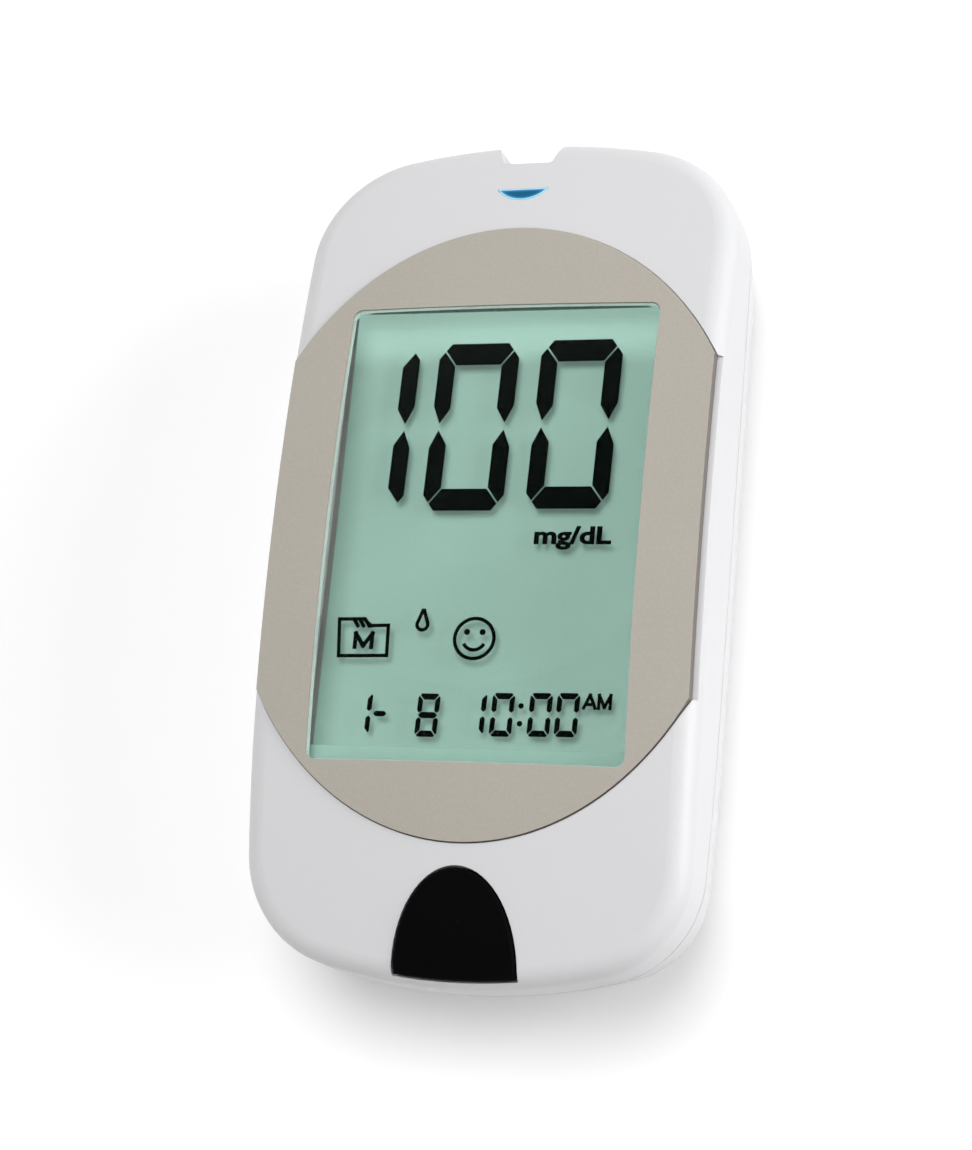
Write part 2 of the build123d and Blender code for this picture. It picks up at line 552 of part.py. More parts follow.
def rear_shell():
    rim = SEAM_HEIGHT - SEAM_GAP
    body = rear_form(0, 0) - rear_form(SIDE_WALL, BACK_WALL)
    lip_outer = outline(SIDE_WALL + LIP_CLEARANCE)
    lip_inner = outline(SIDE_WALL + LIP_CLEARANCE + LIP_WALL)
    body += prism(outline(SIDE_WALL / 2) - lip_inner, rim - LIP_ROOT, rim)
    lip = prism(lip_outer - lip_inner, rim - LIP_ROOT, rim + LIP_HEIGHT)
    lip -= block(-NOTCH_MOUTH, NOTCH_MOUTH, PORT_WALL_Y - SIDE_WALL, PORT_END, rim, ABOVE)
    body += lip

    for x, y in screw_places():
        body += rod(x, y, BOSS_RADIUS, BACK_WALL / 2, rim)
    for x, y in screw_places():
        body -= rod(x, y, SCREW_HEAD_RADIUS + SCREW_HOLE_CLEARANCE, BELOW, SCREW_SUNK + SCREW_HEAD_HEIGHT)
        body -= rod(x, y, SCREW_RADIUS + SCREW_HOLE_CLEARANCE, BELOW, ABOVE)
    for x, y in post_places():
        body += rod(x, y, POST_RADIUS, BACK_WALL / 2, BOARD_BOTTOM)
        body += rod(x, y, PIN_RADIUS, BACK_WALL, BOARD_TOP + PRESS_POST_GAP)

    wall_x = OPENING_HALF_WIDTH + BAY_WALL
    wall_low = OPENING_LOW - BAY_WALL
    wall_high = OPENING_HIGH + BAY_WALL
    bay_outer = BAY_TOP + BAY_CEILING
    shelf_top = SET_SHELF_HEIGHT + SET_SHELF_THICKNESS
    bay_x = (-BAY_HALF_WIDTH, BAY_HALF_WIDTH)
    body += block(-wall_x, wall_x, wall_low, wall_high, BACK_WALL / 2, bay_outer)
    body -= block(*bay_x, BAY_LOW, BAY_HIGH, BELOW, BAY_TOP)
    body -= block(*bay_x, POCKET_LOW, POCKET_HIGH, BELOW, SET_SHELF_HEIGHT)
    body -= block(*bay_x, POCKET_LOW, POCKET_HIGH, shelf_top, ABOVE)
    body -= opening_block(0, BELOW, BACK_WALL)
    hole = SET_BUTTON_RADIUS + SET_BUTTON_CLEARANCE
    body -= rod(0, SET_BUTTON_Y, hole, BELOW, ABOVE)

    for side in (-1, 1):
        half = TOE_WIDTH / 2 + TOE_SLOT_CLEARANCE
        slot_x = (side * TOE_POSITION - half, side * TOE_POSITION + half)
        body -= block(*slot_x, wall_low - PAST, BAY_LOW + PAST, BACK_WALL, toe_slot_top())
        half = TAIL_WIDTH / 2 + TAIL_CLEARANCE
        slot_x = (side * CELL_SPACING / 2 - half, side * CELL_SPACING / 2 + half)
        slot_y = (BAY_HIGH - PLATE_METAL - TAIL_CLEARANCE, BAY_HIGH + TAIL_CLEARANCE)
        body -= block(*slot_x, *slot_y, BAY_TOP - PAST, ABOVE)

    thumb = Pos(0, OPENING_HIGH + THUMB_FROM_COVER, THUMB_DEPTH - THUMB_RADIUS) * Sphere(THUMB_RADIUS)
    body -= thumb & block(-HALF_WIDTH, HALF_WIDTH, OPENING_HIGH - PAST, PORT_END, BELOW, BACK_WALL)
    recess = (LABEL_WIDTH + 2 * LABEL_GAP, LABEL_LENGTH + 2 * LABEL_GAP, LABEL_Y)
    return body - round_block(*recess, BELOW, LABEL_SUNK + LABEL_THICKNESS, LABEL_CORNER_RADIUS + LABEL_GAP)


def toe_tip():
    return OPENING_LOW - TOE_LENGTH


def battery_cover():
    body = opening_block(COVER_CLEARANCE, COVER_SUNK, COVER_TOP)
    body = chamfer(body.edges().group_by(Axis.Z)[0], COVER_EDGE)
    inside = COVER_TOP - COVER_THICKNESS / 2
    toe_low = COVER_TOP + TOE_STEP
    root = OPENING_LOW + COVER_CLEARANCE
    for side in (-1, 1):
        x_range = (side * TOE_POSITION - TOE_WIDTH / 2, side * TOE_POSITION + TOE_WIDTH / 2)
        body += block(*x_range, toe_tip(), root + TOE_THICKNESS, toe_low, toe_low + TOE_THICKNESS)
        body += block(*x_range, root, root + TOE_THICKNESS, inside, toe_low + TOE_THICKNESS)
    tab_high = POCKET_HIGH - LATCH_GAP
    tab_x = (-LATCH_WIDTH / 2, LATCH_WIDTH / 2)
    body += block(*tab_x, tab_high - LATCH_THICKNESS, tab_high, inside, COVER_TOP + LATCH_HEIGHT)
    for i in range(GRIP_RIBS):
        y = OPENING_HIGH - GRIP_FROM_END - i * GRIP_PITCH
        groove = Box(GRIP_WIDTH, GRIP_GROOVE, 2 * GRIP_DEPTH)
        body -= Pos(0, y, COVER_SUNK) * groove
    return body


def case_screws():
    screws = []
    for x, y in screw_places():
        head_low = SCREW_SUNK
        head_high = SCREW_SUNK + SCREW_HEAD_HEIGHT
        screw = rod(x, y, SCREW_HEAD_RADIUS, head_low, head_high)
        screw = chamfer(screw.edges().group_by(Axis.Z)[0], SCREW_HEAD_EDGE)
        screw += rod(x, y, SCREW_RADIUS, head_low + SCREW_HEAD_HEIGHT / 2, head_high + SCREW_LENGTH)
        for width, length in ((CROSS_SLOT, CROSS_LENGTH), (CROSS_LENGTH, CROSS_SLOT)):
            screw -= Pos(x, y, head_low) * Box(width, length, 2 * CROSS_DEPTH)
        screws.append(screw)
    return Compound(children=screws)


def display_plate():
    body = prism(plate_plan(), SEAM_HEIGHT, ABOVE) & dome(PLATE_PROUD)
    return body - dome(PLATE_UNDER) - window_block(0, SEAM_HEIGHT, ABOVE)


def display_lens():
    """Domed window: it fills the plate's opening, and its rim lies under the plate."""
    low = POLARISER_TOP + LENS_GAP
    rim_top = PLATE_UNDER - PLATE_SEAT_GAP
    body = window_block(-LENS_CLEARANCE, low, ABOVE) & dome(PLATE_PROUD - LENS_SUNK)
    body += under_plate(LENS_RIM, low, ABOVE) & dome(rim_top)
    return body - dome(rim_top - LENS_RIM_THICKNESS)


# ---------------------------------------------------------------- display
def glass_block(inset, ledge, low, high):
    """Slab of the display glass's size, smaller by inset all round and by ledge at the button end."""
    half_x = GLASS_WIDTH / 2 - inset
    half_y = GLASS_LENGTH / 2 - inset
    return block(-half_x, half_x, WINDOW_CENTRE - half_y + ledge, WINDOW_CENTRE + half_y, low, high)


def lcd_front_polariser():
    return glass_block(POLARISER_INSET, 0, FRONT_GLASS_TOP, POLARISER_TOP)


def lcd_front_glass():
    return glass_block(0, 0, FRONT_GLASS_BOTTOM, FRONT_GLASS_TOP)


def lcd_rear_glass():
    return glass_block(0, GLASS_LEDGE, REAR_GLASS_BOTTOM, FRONT_GLASS_BOTTOM)


def lcd_reflector():
    return glass_block(POLARISER_INSET, GLASS_LEDGE, REFLECTOR_BOTTOM, REAR_GLASS_BOTTOM)


def lcd_contact_strip(gap=0.0, low=BOARD_TOP, high=FRONT_GLASS_BOTTOM):
    half = GLASS_WIDTH / 2 - GLASS_LEDGE
    y = WINDOW_CENTRE - GLASS_LENGTH / 2 + GLASS_LEDGE / 2
    half_y = ZEBRA_WIDTH / 2 + gap
    return block(-half - gap, half + gap, y - half_y, y + half_y, low, high)


def lcd_holder():
    top = FRONT_GLASS_BOTTOM - HOLDER_DROP
    body = glass_block(-HOLDER_WALL - HOLDER_GAP, 0, BOARD_TOP, top)
    body -= glass_block(-HOLDER_GAP, 0, REFLECTOR_BOTTOM, ABOVE)
    body -= glass_block(-HOLDER_GAP, 0, BELOW, REFLECTOR_BOTTOM - HOLDER_FLOOR)
    body -= lcd_contact_strip(HOLDER_GAP, BOARD_TOP, top)
    return body


# ---------------------------------------------------------------- buttons
def main_button():
    cap = prism(arch_plan(), SEAM_HEIGHT + BUTTON_PROUD, ABOVE) & (Pos(0, 0, BUTTON_PROUD) * domed_block())
    cap = fillet(cap.edges().group_by(Axis.Z)[-1], BUTTON_TOP_EDGE)
    wall_top = face_height(0, BUTTON_END + SIDE_WALL) - THIN_FACE_WALL
    over_wall = outline() - outline(SIDE_WALL + BUTTON_CLEARANCE)
    cap -= prism(over_wall, BELOW, wall_top + BUTTON_TRAVEL + BUTTON_CLEARANCE)
    flange_top = -THIN_FACE_WALL - FLANGE_GAP
    flange_plan = arch_plan(BUTTON_FLANGE, SIDE_WALL + BUTTON_CLEARANCE)
    cap += prism(flange_plan, SEAM_HEIGHT, ABOVE) & dome(flange_top)
    cap -= dome(flange_top - FLANGE_THICKNESS)
    cap -= prism(arch_plan(-BUTTON_WALL, SIDE_WALL + BUTTON_WALL), SEAM_HEIGHT, ABOVE) & dome(-BUTTON_WALL)
    stem_low = BOARD_TOP + MAIN_SWITCH_HEIGHT + PLUNGER_SHOWN
    return cap + (rod(0, BUTTON_Y, BUTTON_STEM_RADIUS, stem_low, ABOVE) & dome(-BUTTON_WALL / 2))


def switch_body(y, size, low, high, mouth_up):
    """Push switch with a blind hole for its plunger."""
    body = block(-size / 2, size / 2, y - size / 2, y + size / 2, low, high)
    body = chamfer(body.edges().filter_by(Axis.Z), SWITCH_CORNER)
    depth = PLUNGER_SEATED + BUTTON_TRAVEL + PLUNGER_CLEARANCE
    hole = (high - depth, high + PAST) if mouth_up else (low - PAST, low + depth)
    return body - rod(0, y, PLUNGER_RADIUS + PLUNGER_CLEARANCE, *hole)


def main_switch():
    return switch_body(BUTTON_Y, MAIN_SWITCH_SIZE, BOARD_TOP, BOARD_TOP + MAIN_SWITCH_HEIGHT, True)


def main_switch_plunger():
    mouth = BOARD_TOP + MAIN_SWITCH_HEIGHT
    return rod(0, BUTTON_Y, PLUNGER_RADIUS, mouth - PLUNGER_SEATED, mouth + PLUNGER_SHOWN)


def set_switch():
    return switch_body(SET_BUTTON_Y, SET_SWITCH_SIZE, BOARD_BOTTOM - SET_SWITCH_HEIGHT, BOARD_BOTTOM, False)


def set_switch_plunger():
    mouth = BOARD_BOTTOM - SET_SWITCH_HEIGHT
    return rod(0, SET_BUTTON_Y, PLUNGER_RADIUS, mouth - PLUNGER_SHOWN, mouth + PLUNGER_SEATED)


def set_button():
    shelf_top = SET_SHELF_HEIGHT + SET_SHELF_THICKNESS
    top = BOARD_BOTTOM - SET_SWITCH_HEIGHT - PLUNGER_SHOWN
    low = SET_SHELF_HEIGHT - SET_BUTTON_SHOWN
    shaft = rod(0, SET_BUTTON_Y, SET_BUTTON_RADIUS, low, top)
    shaft = fillet(shaft.edges().group_by(Axis.Z)[0], BUTTON_TOP_EDGE)
    return shaft + rod(0, SET_BUTTON_Y, SET_BUTTON_FLANGE, shelf_top + SET_FLANGE_GAP, top)


# ---------------------------------------------------------------- strip port
def port_light():
    low = BOARD_TOP + LED_HEIGHT + LIGHT_SIGHT_GAP
    collar_top = -THIN_FACE_WALL - LIGHT_CLEARANCE
    body = prism(light_plan(), low, ABOVE) & dome(LIGHT_PROUD)
    collar = prism(light_plan(LIGHT_COLLAR), low, ABOVE) & dome(collar_top)
    return body + (collar - dome(collar_top - LIGHT_COLLAR))


def port_led():
    y = LIGHT_Y - LIGHT_HEIGHT / 2
    return Pos(0, y, BOARD_TOP + LED_HEIGHT / 2) * Box(LED_WIDTH, LED_LENGTH, LED_HEIGHT)


def connector_span():
    high = PORT_WALL_Y - CONNECTOR_GAP
    return high - CONNECTOR_LENGTH, high


def contact_places():
    middle = (CONNECTOR_CONTACTS - 1) / 2
    return [(i - middle) * CONTACT_PITCH for i in range(CONNECTOR_CONTACTS)]


def strip_connector():
    low, high = connector_span()
    half = CONNECTOR_WIDTH / 2
    slot_half = STRIP_SLOT_WIDTH / 2
    slot_low = STRIP_HEIGHT - STRIP_SLOT_HEIGHT / 2
    slot_high = STRIP_HEIGHT + STRIP_SLOT_HEIGHT / 2
    body = block(-half, half, low, high, slot_low - CONNECTOR_WALL, BOARD_BOTTOM)
    body = chamfer(body.edges().filter_by(Axis.Y).group_by(Axis.Z)[0], CONNECTOR_WALL / 2)
    body -= block(-slot_half, slot_half, low + CONNECTOR_STOP, high + PAST, slot_low, slot_high)
    funnel = slot_half + FUNNEL
    body -= block(-funnel, funnel, high - FUNNEL_DEPTH, high + PAST, slot_low - FUNNEL, slot_high + FUNNEL)
    roof = BOARD_BOTTOM - CONTACT_CLEARANCE
    half = CONTACT_WIDTH / 2 + CONTACT_CLEARANCE
    for x in contact_places():
        body -= block(x - half, x + half, low - PAST, low + CONTACT_SLOT, STRIP_HEIGHT, roof)
    return body


def strip_contacts():
    low = connector_span()[0]
    roof = BOARD_BOTTOM - CONTACT_CLEARANCE - CONTACT_THICKNESS / 2
    tail = low - CONTACT_TAIL
    path = Polyline(
        (tail, BOARD_BOTTOM),
        (tail, roof),
        (low + CONTACT_SLOT / 2, roof),
        (low + CONTACT_SLOT * 0.8, STRIP_HEIGHT - CONTACT_DIP),
        (low + CONTACT_SLOT - 2 * CONTACT_CLEARANCE, STRIP_HEIGHT + STRIP_SLOT_HEIGHT / 2),
    )
    contacts = []
    for x in contact_places():
        leaf = Plane.YZ.offset(x - CONTACT_WIDTH / 2) * trace(path, CONTACT_THICKNESS)
        leaf = extrude(leaf, amount=CONTACT_WIDTH, dir=(1, 0, 0))
        contacts.append(leaf & block(-HALF_WIDTH, HALF_WIDTH, BUTTON_END, PORT_END, BELOW, BOARD_BOTTOM))
    return Compound(children=contacts)


# ---------------------------------------------------------------- cells and their contacts
def turned_to_y(solid, x, y):
    """Solid made along +Z from the origin, laid along +Y from a point on a cell's axis."""
    return Pos(x, y, CELL_Z) * (Rot(-90, 0, 0) * solid)


def cell(side):
    """AAA cell with its nub at -Y for side 1 and at +Y for side -1."""
    length = CELL_LENGTH - CELL_NUB_LENGTH
    can = rod(0, 0, CELL_RADIUS, 0, length)
    can = fillet(can.edges().filter_by(GeomType.CIRCLE), CELL_EDGE_RADIUS)
    can += rod(0, 0, CELL_NUB_RADIUS, length / 2, CELL_LENGTH)
    x = side * CELL_SPACING / 2
    if side < 0:
        return turned_to_y(can, x, BAY_HIGH - PLATE_METAL - CONTACT_GAP - CELL_LENGTH)
    flipped = Pos(0, 0, CELL_LENGTH) * (Rot(180, 0, 0) * can)
    return turned_to_y(flipped, x, BAY_LOW + PLATE_METAL + CONTACT_GAP)


def battery_link_plate():
    half = CELL_SPACING / 2 + CONTACT_PLATE_WIDTH / 2
    low = CELL_Z - CONTACT_PLATE_DROP
    return block(-half, half, BAY_LOW, BAY_LOW + PLATE_METAL, low, BAY_TOP - CONTACT_PLATE_GAP)


def battery_terminals():
    plates = []
    for side in (-1, 1):
        x = side * CELL_SPACING / 2
        half = CONTACT_PLATE_WIDTH / 2
        y_range = (BAY_HIGH - PLATE_METAL, BAY_HIGH)
        plate = block(x - half, x + half, *y_range, CELL_Z - CONTACT_PLATE_DROP, BAY_TOP - CONTACT_PLATE_GAP)
        plate += block(x - TAIL_WIDTH / 2, x + TAIL_WIDTH / 2, *y_range, CELL_Z, BOARD_BOTTOM)
        plates.append(plate)
    return Compound(children=plates)


def coil():
    """Conical coil spring that stands on the origin along +Z."""
    height = SPRING_LENGTH - SPRING_WIRE
    cone = -atan((SPRING_RADIUS - SPRING_TIP_RADIUS) / height)
    path = Helix(height / SPRING_TURNS, height, SPRING_RADIUS, cone_angle=degrees(cone))
    section = Plane(path @ 0, z_dir=path % 0) * Circle(SPRING_WIRE / 2)
    return Pos(0, 0, SPRING_WIRE / 2) * sweep(section, path=path)


def battery_springs():
    low = turned_to_y(coil(), -CELL_SPACING / 2, BAY_LOW + PLATE_METAL + CONTACT_GAP)
    high = turned_to_y(Rot(180, 0, 0) * coil(), CELL_SPACING / 2, BAY_HIGH - PLATE_METAL - CONTACT_GAP)
    return Compound(children=[low, high])


# ---------------------------------------------------------------- board
def circuit_board():
    tongue_high = PORT_WALL_Y - BOARD_END_GAP
    tongue_low = BUTTON_END + SIDE_WALL + BOARD_BUTTON_GAP
    plan = RectangleRounded(2 * BOARD_HALF_WIDTH, 2 * BOARD_HALF_LENGTH, BOARD_CORNER_RADIUS)
    tongue = Rectangle(2 * TONGUE_HALF_WIDTH, tongue_high - tongue_low)
    plan += Pos(0, (tongue_high + tongue_low) / 2) * tongue
    body = prism(plan, BOARD_BOTTOM, BOARD_TOP)
    for x, y in post_places():
        body -= rod(x, y, PIN_RADIUS + PIN_CLEARANCE, BELOW, ABOVE)
    return body


def chip(x, y, width, length, height, edge=CHIP_EDGE):
    """Package on the upper side of the board."""
    low = BOARD_TOP
    body = block(x - width / 2, x + width / 2, y - length / 2, y + length / 2, low, low + height)
    return chamfer(body.edges().group_by(Axis.Z)[-1], edge)


def processor_chip():
    return chip(0, PROCESSOR_Y, PROCESSOR_SIZE, PROCESSOR_SIZE, CHIP_HEIGHT)


def memory_chip():
    y = WINDOW_CENTRE - MEMORY_BELOW
    return chip(-MEMORY_ASIDE, y, MEMORY_WIDTH, MEMORY_LENGTH, SMALL_CHIP_HEIGHT)


def sensor_chip():
    y = PORT_WALL_Y - SENSOR_CHIP_FROM_WALL
    return chip(SENSOR_CHIP_ASIDE, y, SENSOR_CHIP_SIZE, SENSOR_CHIP_SIZE, SMALL_CHIP_HEIGHT)


def clock_crystal():
    x = -PROCESSOR_SIZE / 2 - CRYSTAL_GAP - CRYSTAL_WIDTH / 2
    return chip(x, PROCESSOR_Y + CRYSTAL_ABOVE, CRYSTAL_WIDTH, CRYSTAL_LENGTH, SMALL_CHIP_HEIGHT)


def board_passives():
    first_x = PROCESSOR_SIZE / 2 + PASSIVE_GAP + PASSIVE_LENGTH / 2
    first_y = PROCESSOR_Y - (PASSIVE_ROWS - 1) / 2 * PASSIVE_PITCH
    pieces = []
    for column in range(PASSIVE_COLUMNS):
        for row in range(PASSIVE_ROWS):
            place = (first_x + column * PASSIVE_ACROSS, first_y + row * PASSIVE_PITCH)
            pieces.append(chip(*place, PASSIVE_LENGTH, PASSIVE_WIDTH, PASSIVE_HEIGHT, PASSIVE_EDGE))
    return Compound(children=pieces)


def buzzer():
    x = -CONNECTOR_WIDTH / 2 - BUZZER_RADIUS - BUZZER_GAP
    y = connector_span()[0] + BUZZER_RADIUS
    body = rod(x, y, BUZZER_RADIUS, BOARD_BOTTOM - BUZZER_HEIGHT, BOARD_BOTTOM)
    return body - rod(x, y, BUZZER_HOLE, BELOW, BOARD_BOTTOM - BUZZER_HEIGHT / 2)


def rear_label():
    return round_block(
        LABEL_WIDTH, LABEL_LENGTH, LABEL_Y, LABEL_SUNK, LABEL_SUNK + LABEL_THICKNESS, LABEL_CORNER_RADIUS
    )


PARTS = {
    "front_shell": front_shell,
    "rear_shell": rear_shell,
    "display_plate": display_plate,
    "display_lens": display_lens,
    "lcd_front_polariser": lcd_front_polariser,
    "lcd_front_glass": lcd_front_glass,
    "lcd_rear_glass": lcd_rear_glass,
    "lcd_reflector": lcd_reflector,
    "lcd_contact_strip": lcd_contact_strip,
    "lcd_holder": lcd_holder,
    "main_button": main_button,
    "main_switch": main_switch,
    "main_switch_plunger": main_switch_plunger,
    "set_button": set_button,
    "set_switch": set_switch,
    "set_switch_plunger": set_switch_plunger,
    "port_light": port_light,
    "port_led": port_led,
    "strip_connector": strip_connector,
    "strip_contacts": strip_contacts,
    "battery_left": lambda: cell(-1),
    "battery_right": lambda: cell(1),
    "battery_link_plate": battery_link_plate,
    "battery_terminals": battery_terminals,
    "battery_springs": battery_springs,
    "battery_cover": battery_cover,
    "circuit_board": circuit_board,
    "processor_chip": processor_chip,
    "memory_chip": memory_chip,
    "sensor_chip": sensor_chip,
    "clock_crystal": clock_crystal,
    "board_passives": board_passives,
    "buzzer": buzzer,
    "case_screws": case_screws,
    "rear_label": rear_label,
}

os.makedirs("parts", exist_ok=True)
for name, make in PARTS.items():
    export_step(make(), f"parts/{name}.step")
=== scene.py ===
"""Blood glucose meter: finishes of its pieces, the display's picture, the chips' leads and a studio."""

from math import cos, pi, radians, sin, tan

import bmesh
import bpy
from bpy.props import FloatProperty, FloatVectorProperty, PointerProperty, StringProperty
from mathutils import Matrix, Vector


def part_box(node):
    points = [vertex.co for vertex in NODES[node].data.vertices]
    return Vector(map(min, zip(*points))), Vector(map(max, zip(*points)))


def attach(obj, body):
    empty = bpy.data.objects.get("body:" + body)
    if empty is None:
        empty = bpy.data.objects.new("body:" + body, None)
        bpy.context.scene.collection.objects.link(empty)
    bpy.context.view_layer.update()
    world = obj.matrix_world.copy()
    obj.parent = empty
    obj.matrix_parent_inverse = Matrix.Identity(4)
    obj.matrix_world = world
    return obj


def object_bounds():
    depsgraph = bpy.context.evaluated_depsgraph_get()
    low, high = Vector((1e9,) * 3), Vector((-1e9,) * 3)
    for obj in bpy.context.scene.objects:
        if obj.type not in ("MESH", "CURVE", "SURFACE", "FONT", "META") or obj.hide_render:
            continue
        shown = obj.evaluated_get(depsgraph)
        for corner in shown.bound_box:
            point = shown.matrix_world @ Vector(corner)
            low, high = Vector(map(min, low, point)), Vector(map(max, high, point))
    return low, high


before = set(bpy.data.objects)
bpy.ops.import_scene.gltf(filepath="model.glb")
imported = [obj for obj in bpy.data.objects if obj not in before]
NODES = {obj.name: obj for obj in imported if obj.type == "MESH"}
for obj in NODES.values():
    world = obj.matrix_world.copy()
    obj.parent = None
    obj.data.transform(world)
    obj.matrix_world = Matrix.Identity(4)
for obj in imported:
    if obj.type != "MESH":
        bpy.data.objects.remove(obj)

CAD_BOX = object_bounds()
MM = 0.001
FULL_TURN = 2 * pi
WHITE = (1.0, 1.0, 1.0, 1.0)
BLACK = (0.0, 0.0, 0.0, 1.0)

# the segments of each sign: a on top, then clockwise to f, and g in the middle
DIGITS = {
    "0": "abcdef",
    "1": "bc",
    "2": "abged",
    "3": "abgcd",
    "4": "fgbc",
    "5": "afgcd",
    "6": "afgedc",
    "7": "abc",
    "8": "abcdefg",
    "9": "abcdfg",
    "-": "g",
}
# height of a capital of the built-in font at size 1
FONT_CAPITAL = 0.729
SIGN_STROKE = 0.4 * MM

# places in the picture, in millimetres
READING_CORNERS = ((-19.72, 3.68), (-8.15, 3.7), (3.66, 3.9))
FOLDER_OUTLINE = (
    (-16.22, -12.78),
    (-16.55, -8.66),
    (-13.75, -8.61),
    (-12.78, -9.36),
    (-10.8, -9.3),
    (-10.66, -12.68),
)
CLOCK_DIGITS = (
    ("1", -14.25, -21.5),
    ("8", -6.55, -21.55),
    ("1", -1.3, -21.3),
    ("0", 1.8, -21.33),
    ("0", 5.98, -21.25),
    ("0", 8.98, -21.2),
)
# pitch of a chip's leads in millimetres, and the axes that its leaded sides face
CHIP_SIDES = {"processor_chip": (0.8, (0, 1)), "memory_chip": (1.0, (0,)), "sensor_chip": (0.8, (0,))}

bl_info = {
    "name": "Glucose Meter Builder",
    "version": (1, 0, 0),
    "blender": (4, 5, 0),
    "location": "View3D > Sidebar > Meter",
    "description": "Finishes the glucose meter, draws its display and sets up the studio",
    "category": "Add Mesh",
}


# ------------------------------------------------------------------ settings


def length(label, about, millimetres):
    """A length setting, kept in metres."""
    return FloatProperty(
        name=label, description=about, default=millimetres * MM, unit="LENGTH", subtype="DISTANCE"
    )


def colour(label, about, value):
    """A linear colour setting."""
    return FloatVectorProperty(
        name=label, description=about, default=value, size=3, min=0.0, max=1.0, subtype="COLOR"
    )


def amount(label, about, value, top=1.0):
    """A plain number setting."""
    return FloatProperty(name=label, description=about, default=value, min=0.0, max=top)


class MeterDisplaySettings(bpy.types.PropertyGroup):
    reading: StringProperty(name="Reading", description="Large number on the display", default="100")
    unit: StringProperty(name="Unit", description="Unit under the reading", default="mg/dL")
    digit_width: length("Digit width", "Width of one large digit", 9.3)
    digit_height: length("Digit height", "Height of one large digit", 19.35)
    upright_stroke: length("Upright stroke", "Width of the large digits' upright segments", 1.95)
    level_stroke: length("Level stroke", "Height of the large digits' level segments", 2.5)
    segment_gap: length("Segment gap", "Gap between neighbouring segments", 0.16)
    segment_lean: FloatProperty(
        name="Segment lean",
        description="Lean of the digits to the right",
        default=radians(1.2),
        unit="ROTATION",
        subtype="ANGLE",
    )
    ink_depth: length("Ink depth", "Thickness of a switched segment", 0.03)
    ink: colour("Ink", "Colour of a switched segment", (0.0003, 0.0004, 0.0004))
    ground: colour("Ground", "Colour of the reflector behind the picture", (0.31, 0.5, 0.425))
    # the reflector's glow is painted light: the reflector is no lamp, and the glow lifts the shade in the
    # display's recess
    glow: amount("Glow", "Light of the reflector's own, as a share of its colour", 0.35)


class MeterFinishSettings(bpy.types.PropertyGroup):
    case: colour("Case", "Case plastic", (0.672, 0.672, 0.684))
    plate: colour("Plate", "Paint of the display plate", (0.424, 0.395, 0.347))
    plate_edge: colour("Plate edge", "Edge of the display plate", (0.17, 0.15, 0.135))
    button: colour("Button", "Main button", (0.0015, 0.0012, 0.0015))
    light_heart: colour("Light heart", "Middle of the light guide", (0.0005, 0.085, 0.175))
    light_body: colour("Light body", "Light guide between its middle and its rim", (0.045, 0.19, 0.4))
    light_rim: colour("Light rim", "Rim of the light guide", (0.42, 0.8, 0.95))
    sleeve: colour("Sleeve", "Sleeve of the cells", (0.13, 0.2, 0.33))
    board: colour("Board", "Solder mask of the board", (0.03, 0.17, 0.07))


class MeterStudioSettings(bpy.types.PropertyGroup):
    camera_place: FloatVectorProperty(
        name="Camera place",
        description="Where the camera stands",
        default=(88.76 * MM, -77.72 * MM, 278.81 * MM),
        size=3,
        unit="LENGTH",
        subtype="TRANSLATION",
    )
    camera_turn: FloatVectorProperty(
        name="Camera turn",
        description="Turn of the camera about Z, then X, then Y",
        default=(radians(15.1), radians(18.89), radians(5.39)),
        size=3,
        unit="ROTATION",
        subtype="EULER",
    )
    camera_lens: FloatProperty(
        name="Camera lens", description="Focal length in millimetres", default=82.36, min=1.0
    )
    key: amount("Key light", "Strength of the light from above", 1.95, 20.0)
    side: amount("Side light", "Strength of the low light from the right", 2.5, 20.0)
    fill: amount("Fill light", "Strength of the shadowless light from the left", 0.45, 20.0)
    surround: amount("Surround", "Strength of the light from all around", 0.22, 20.0)
    floor_size: length("Floor size", "Side of the floor", 4000.0)
    floor_tone: amount("Floor tone", "Grey of the floor under the lamps", 0.88)
    floor_glow: amount("Floor glow", "Light added where the floor shows as background", 0.19)


def settings(group):
    """One group of settings: display, finish or studio."""
    return getattr(bpy.context.scene, "meter_" + group)


# ------------------------------------------------------------- shader groups


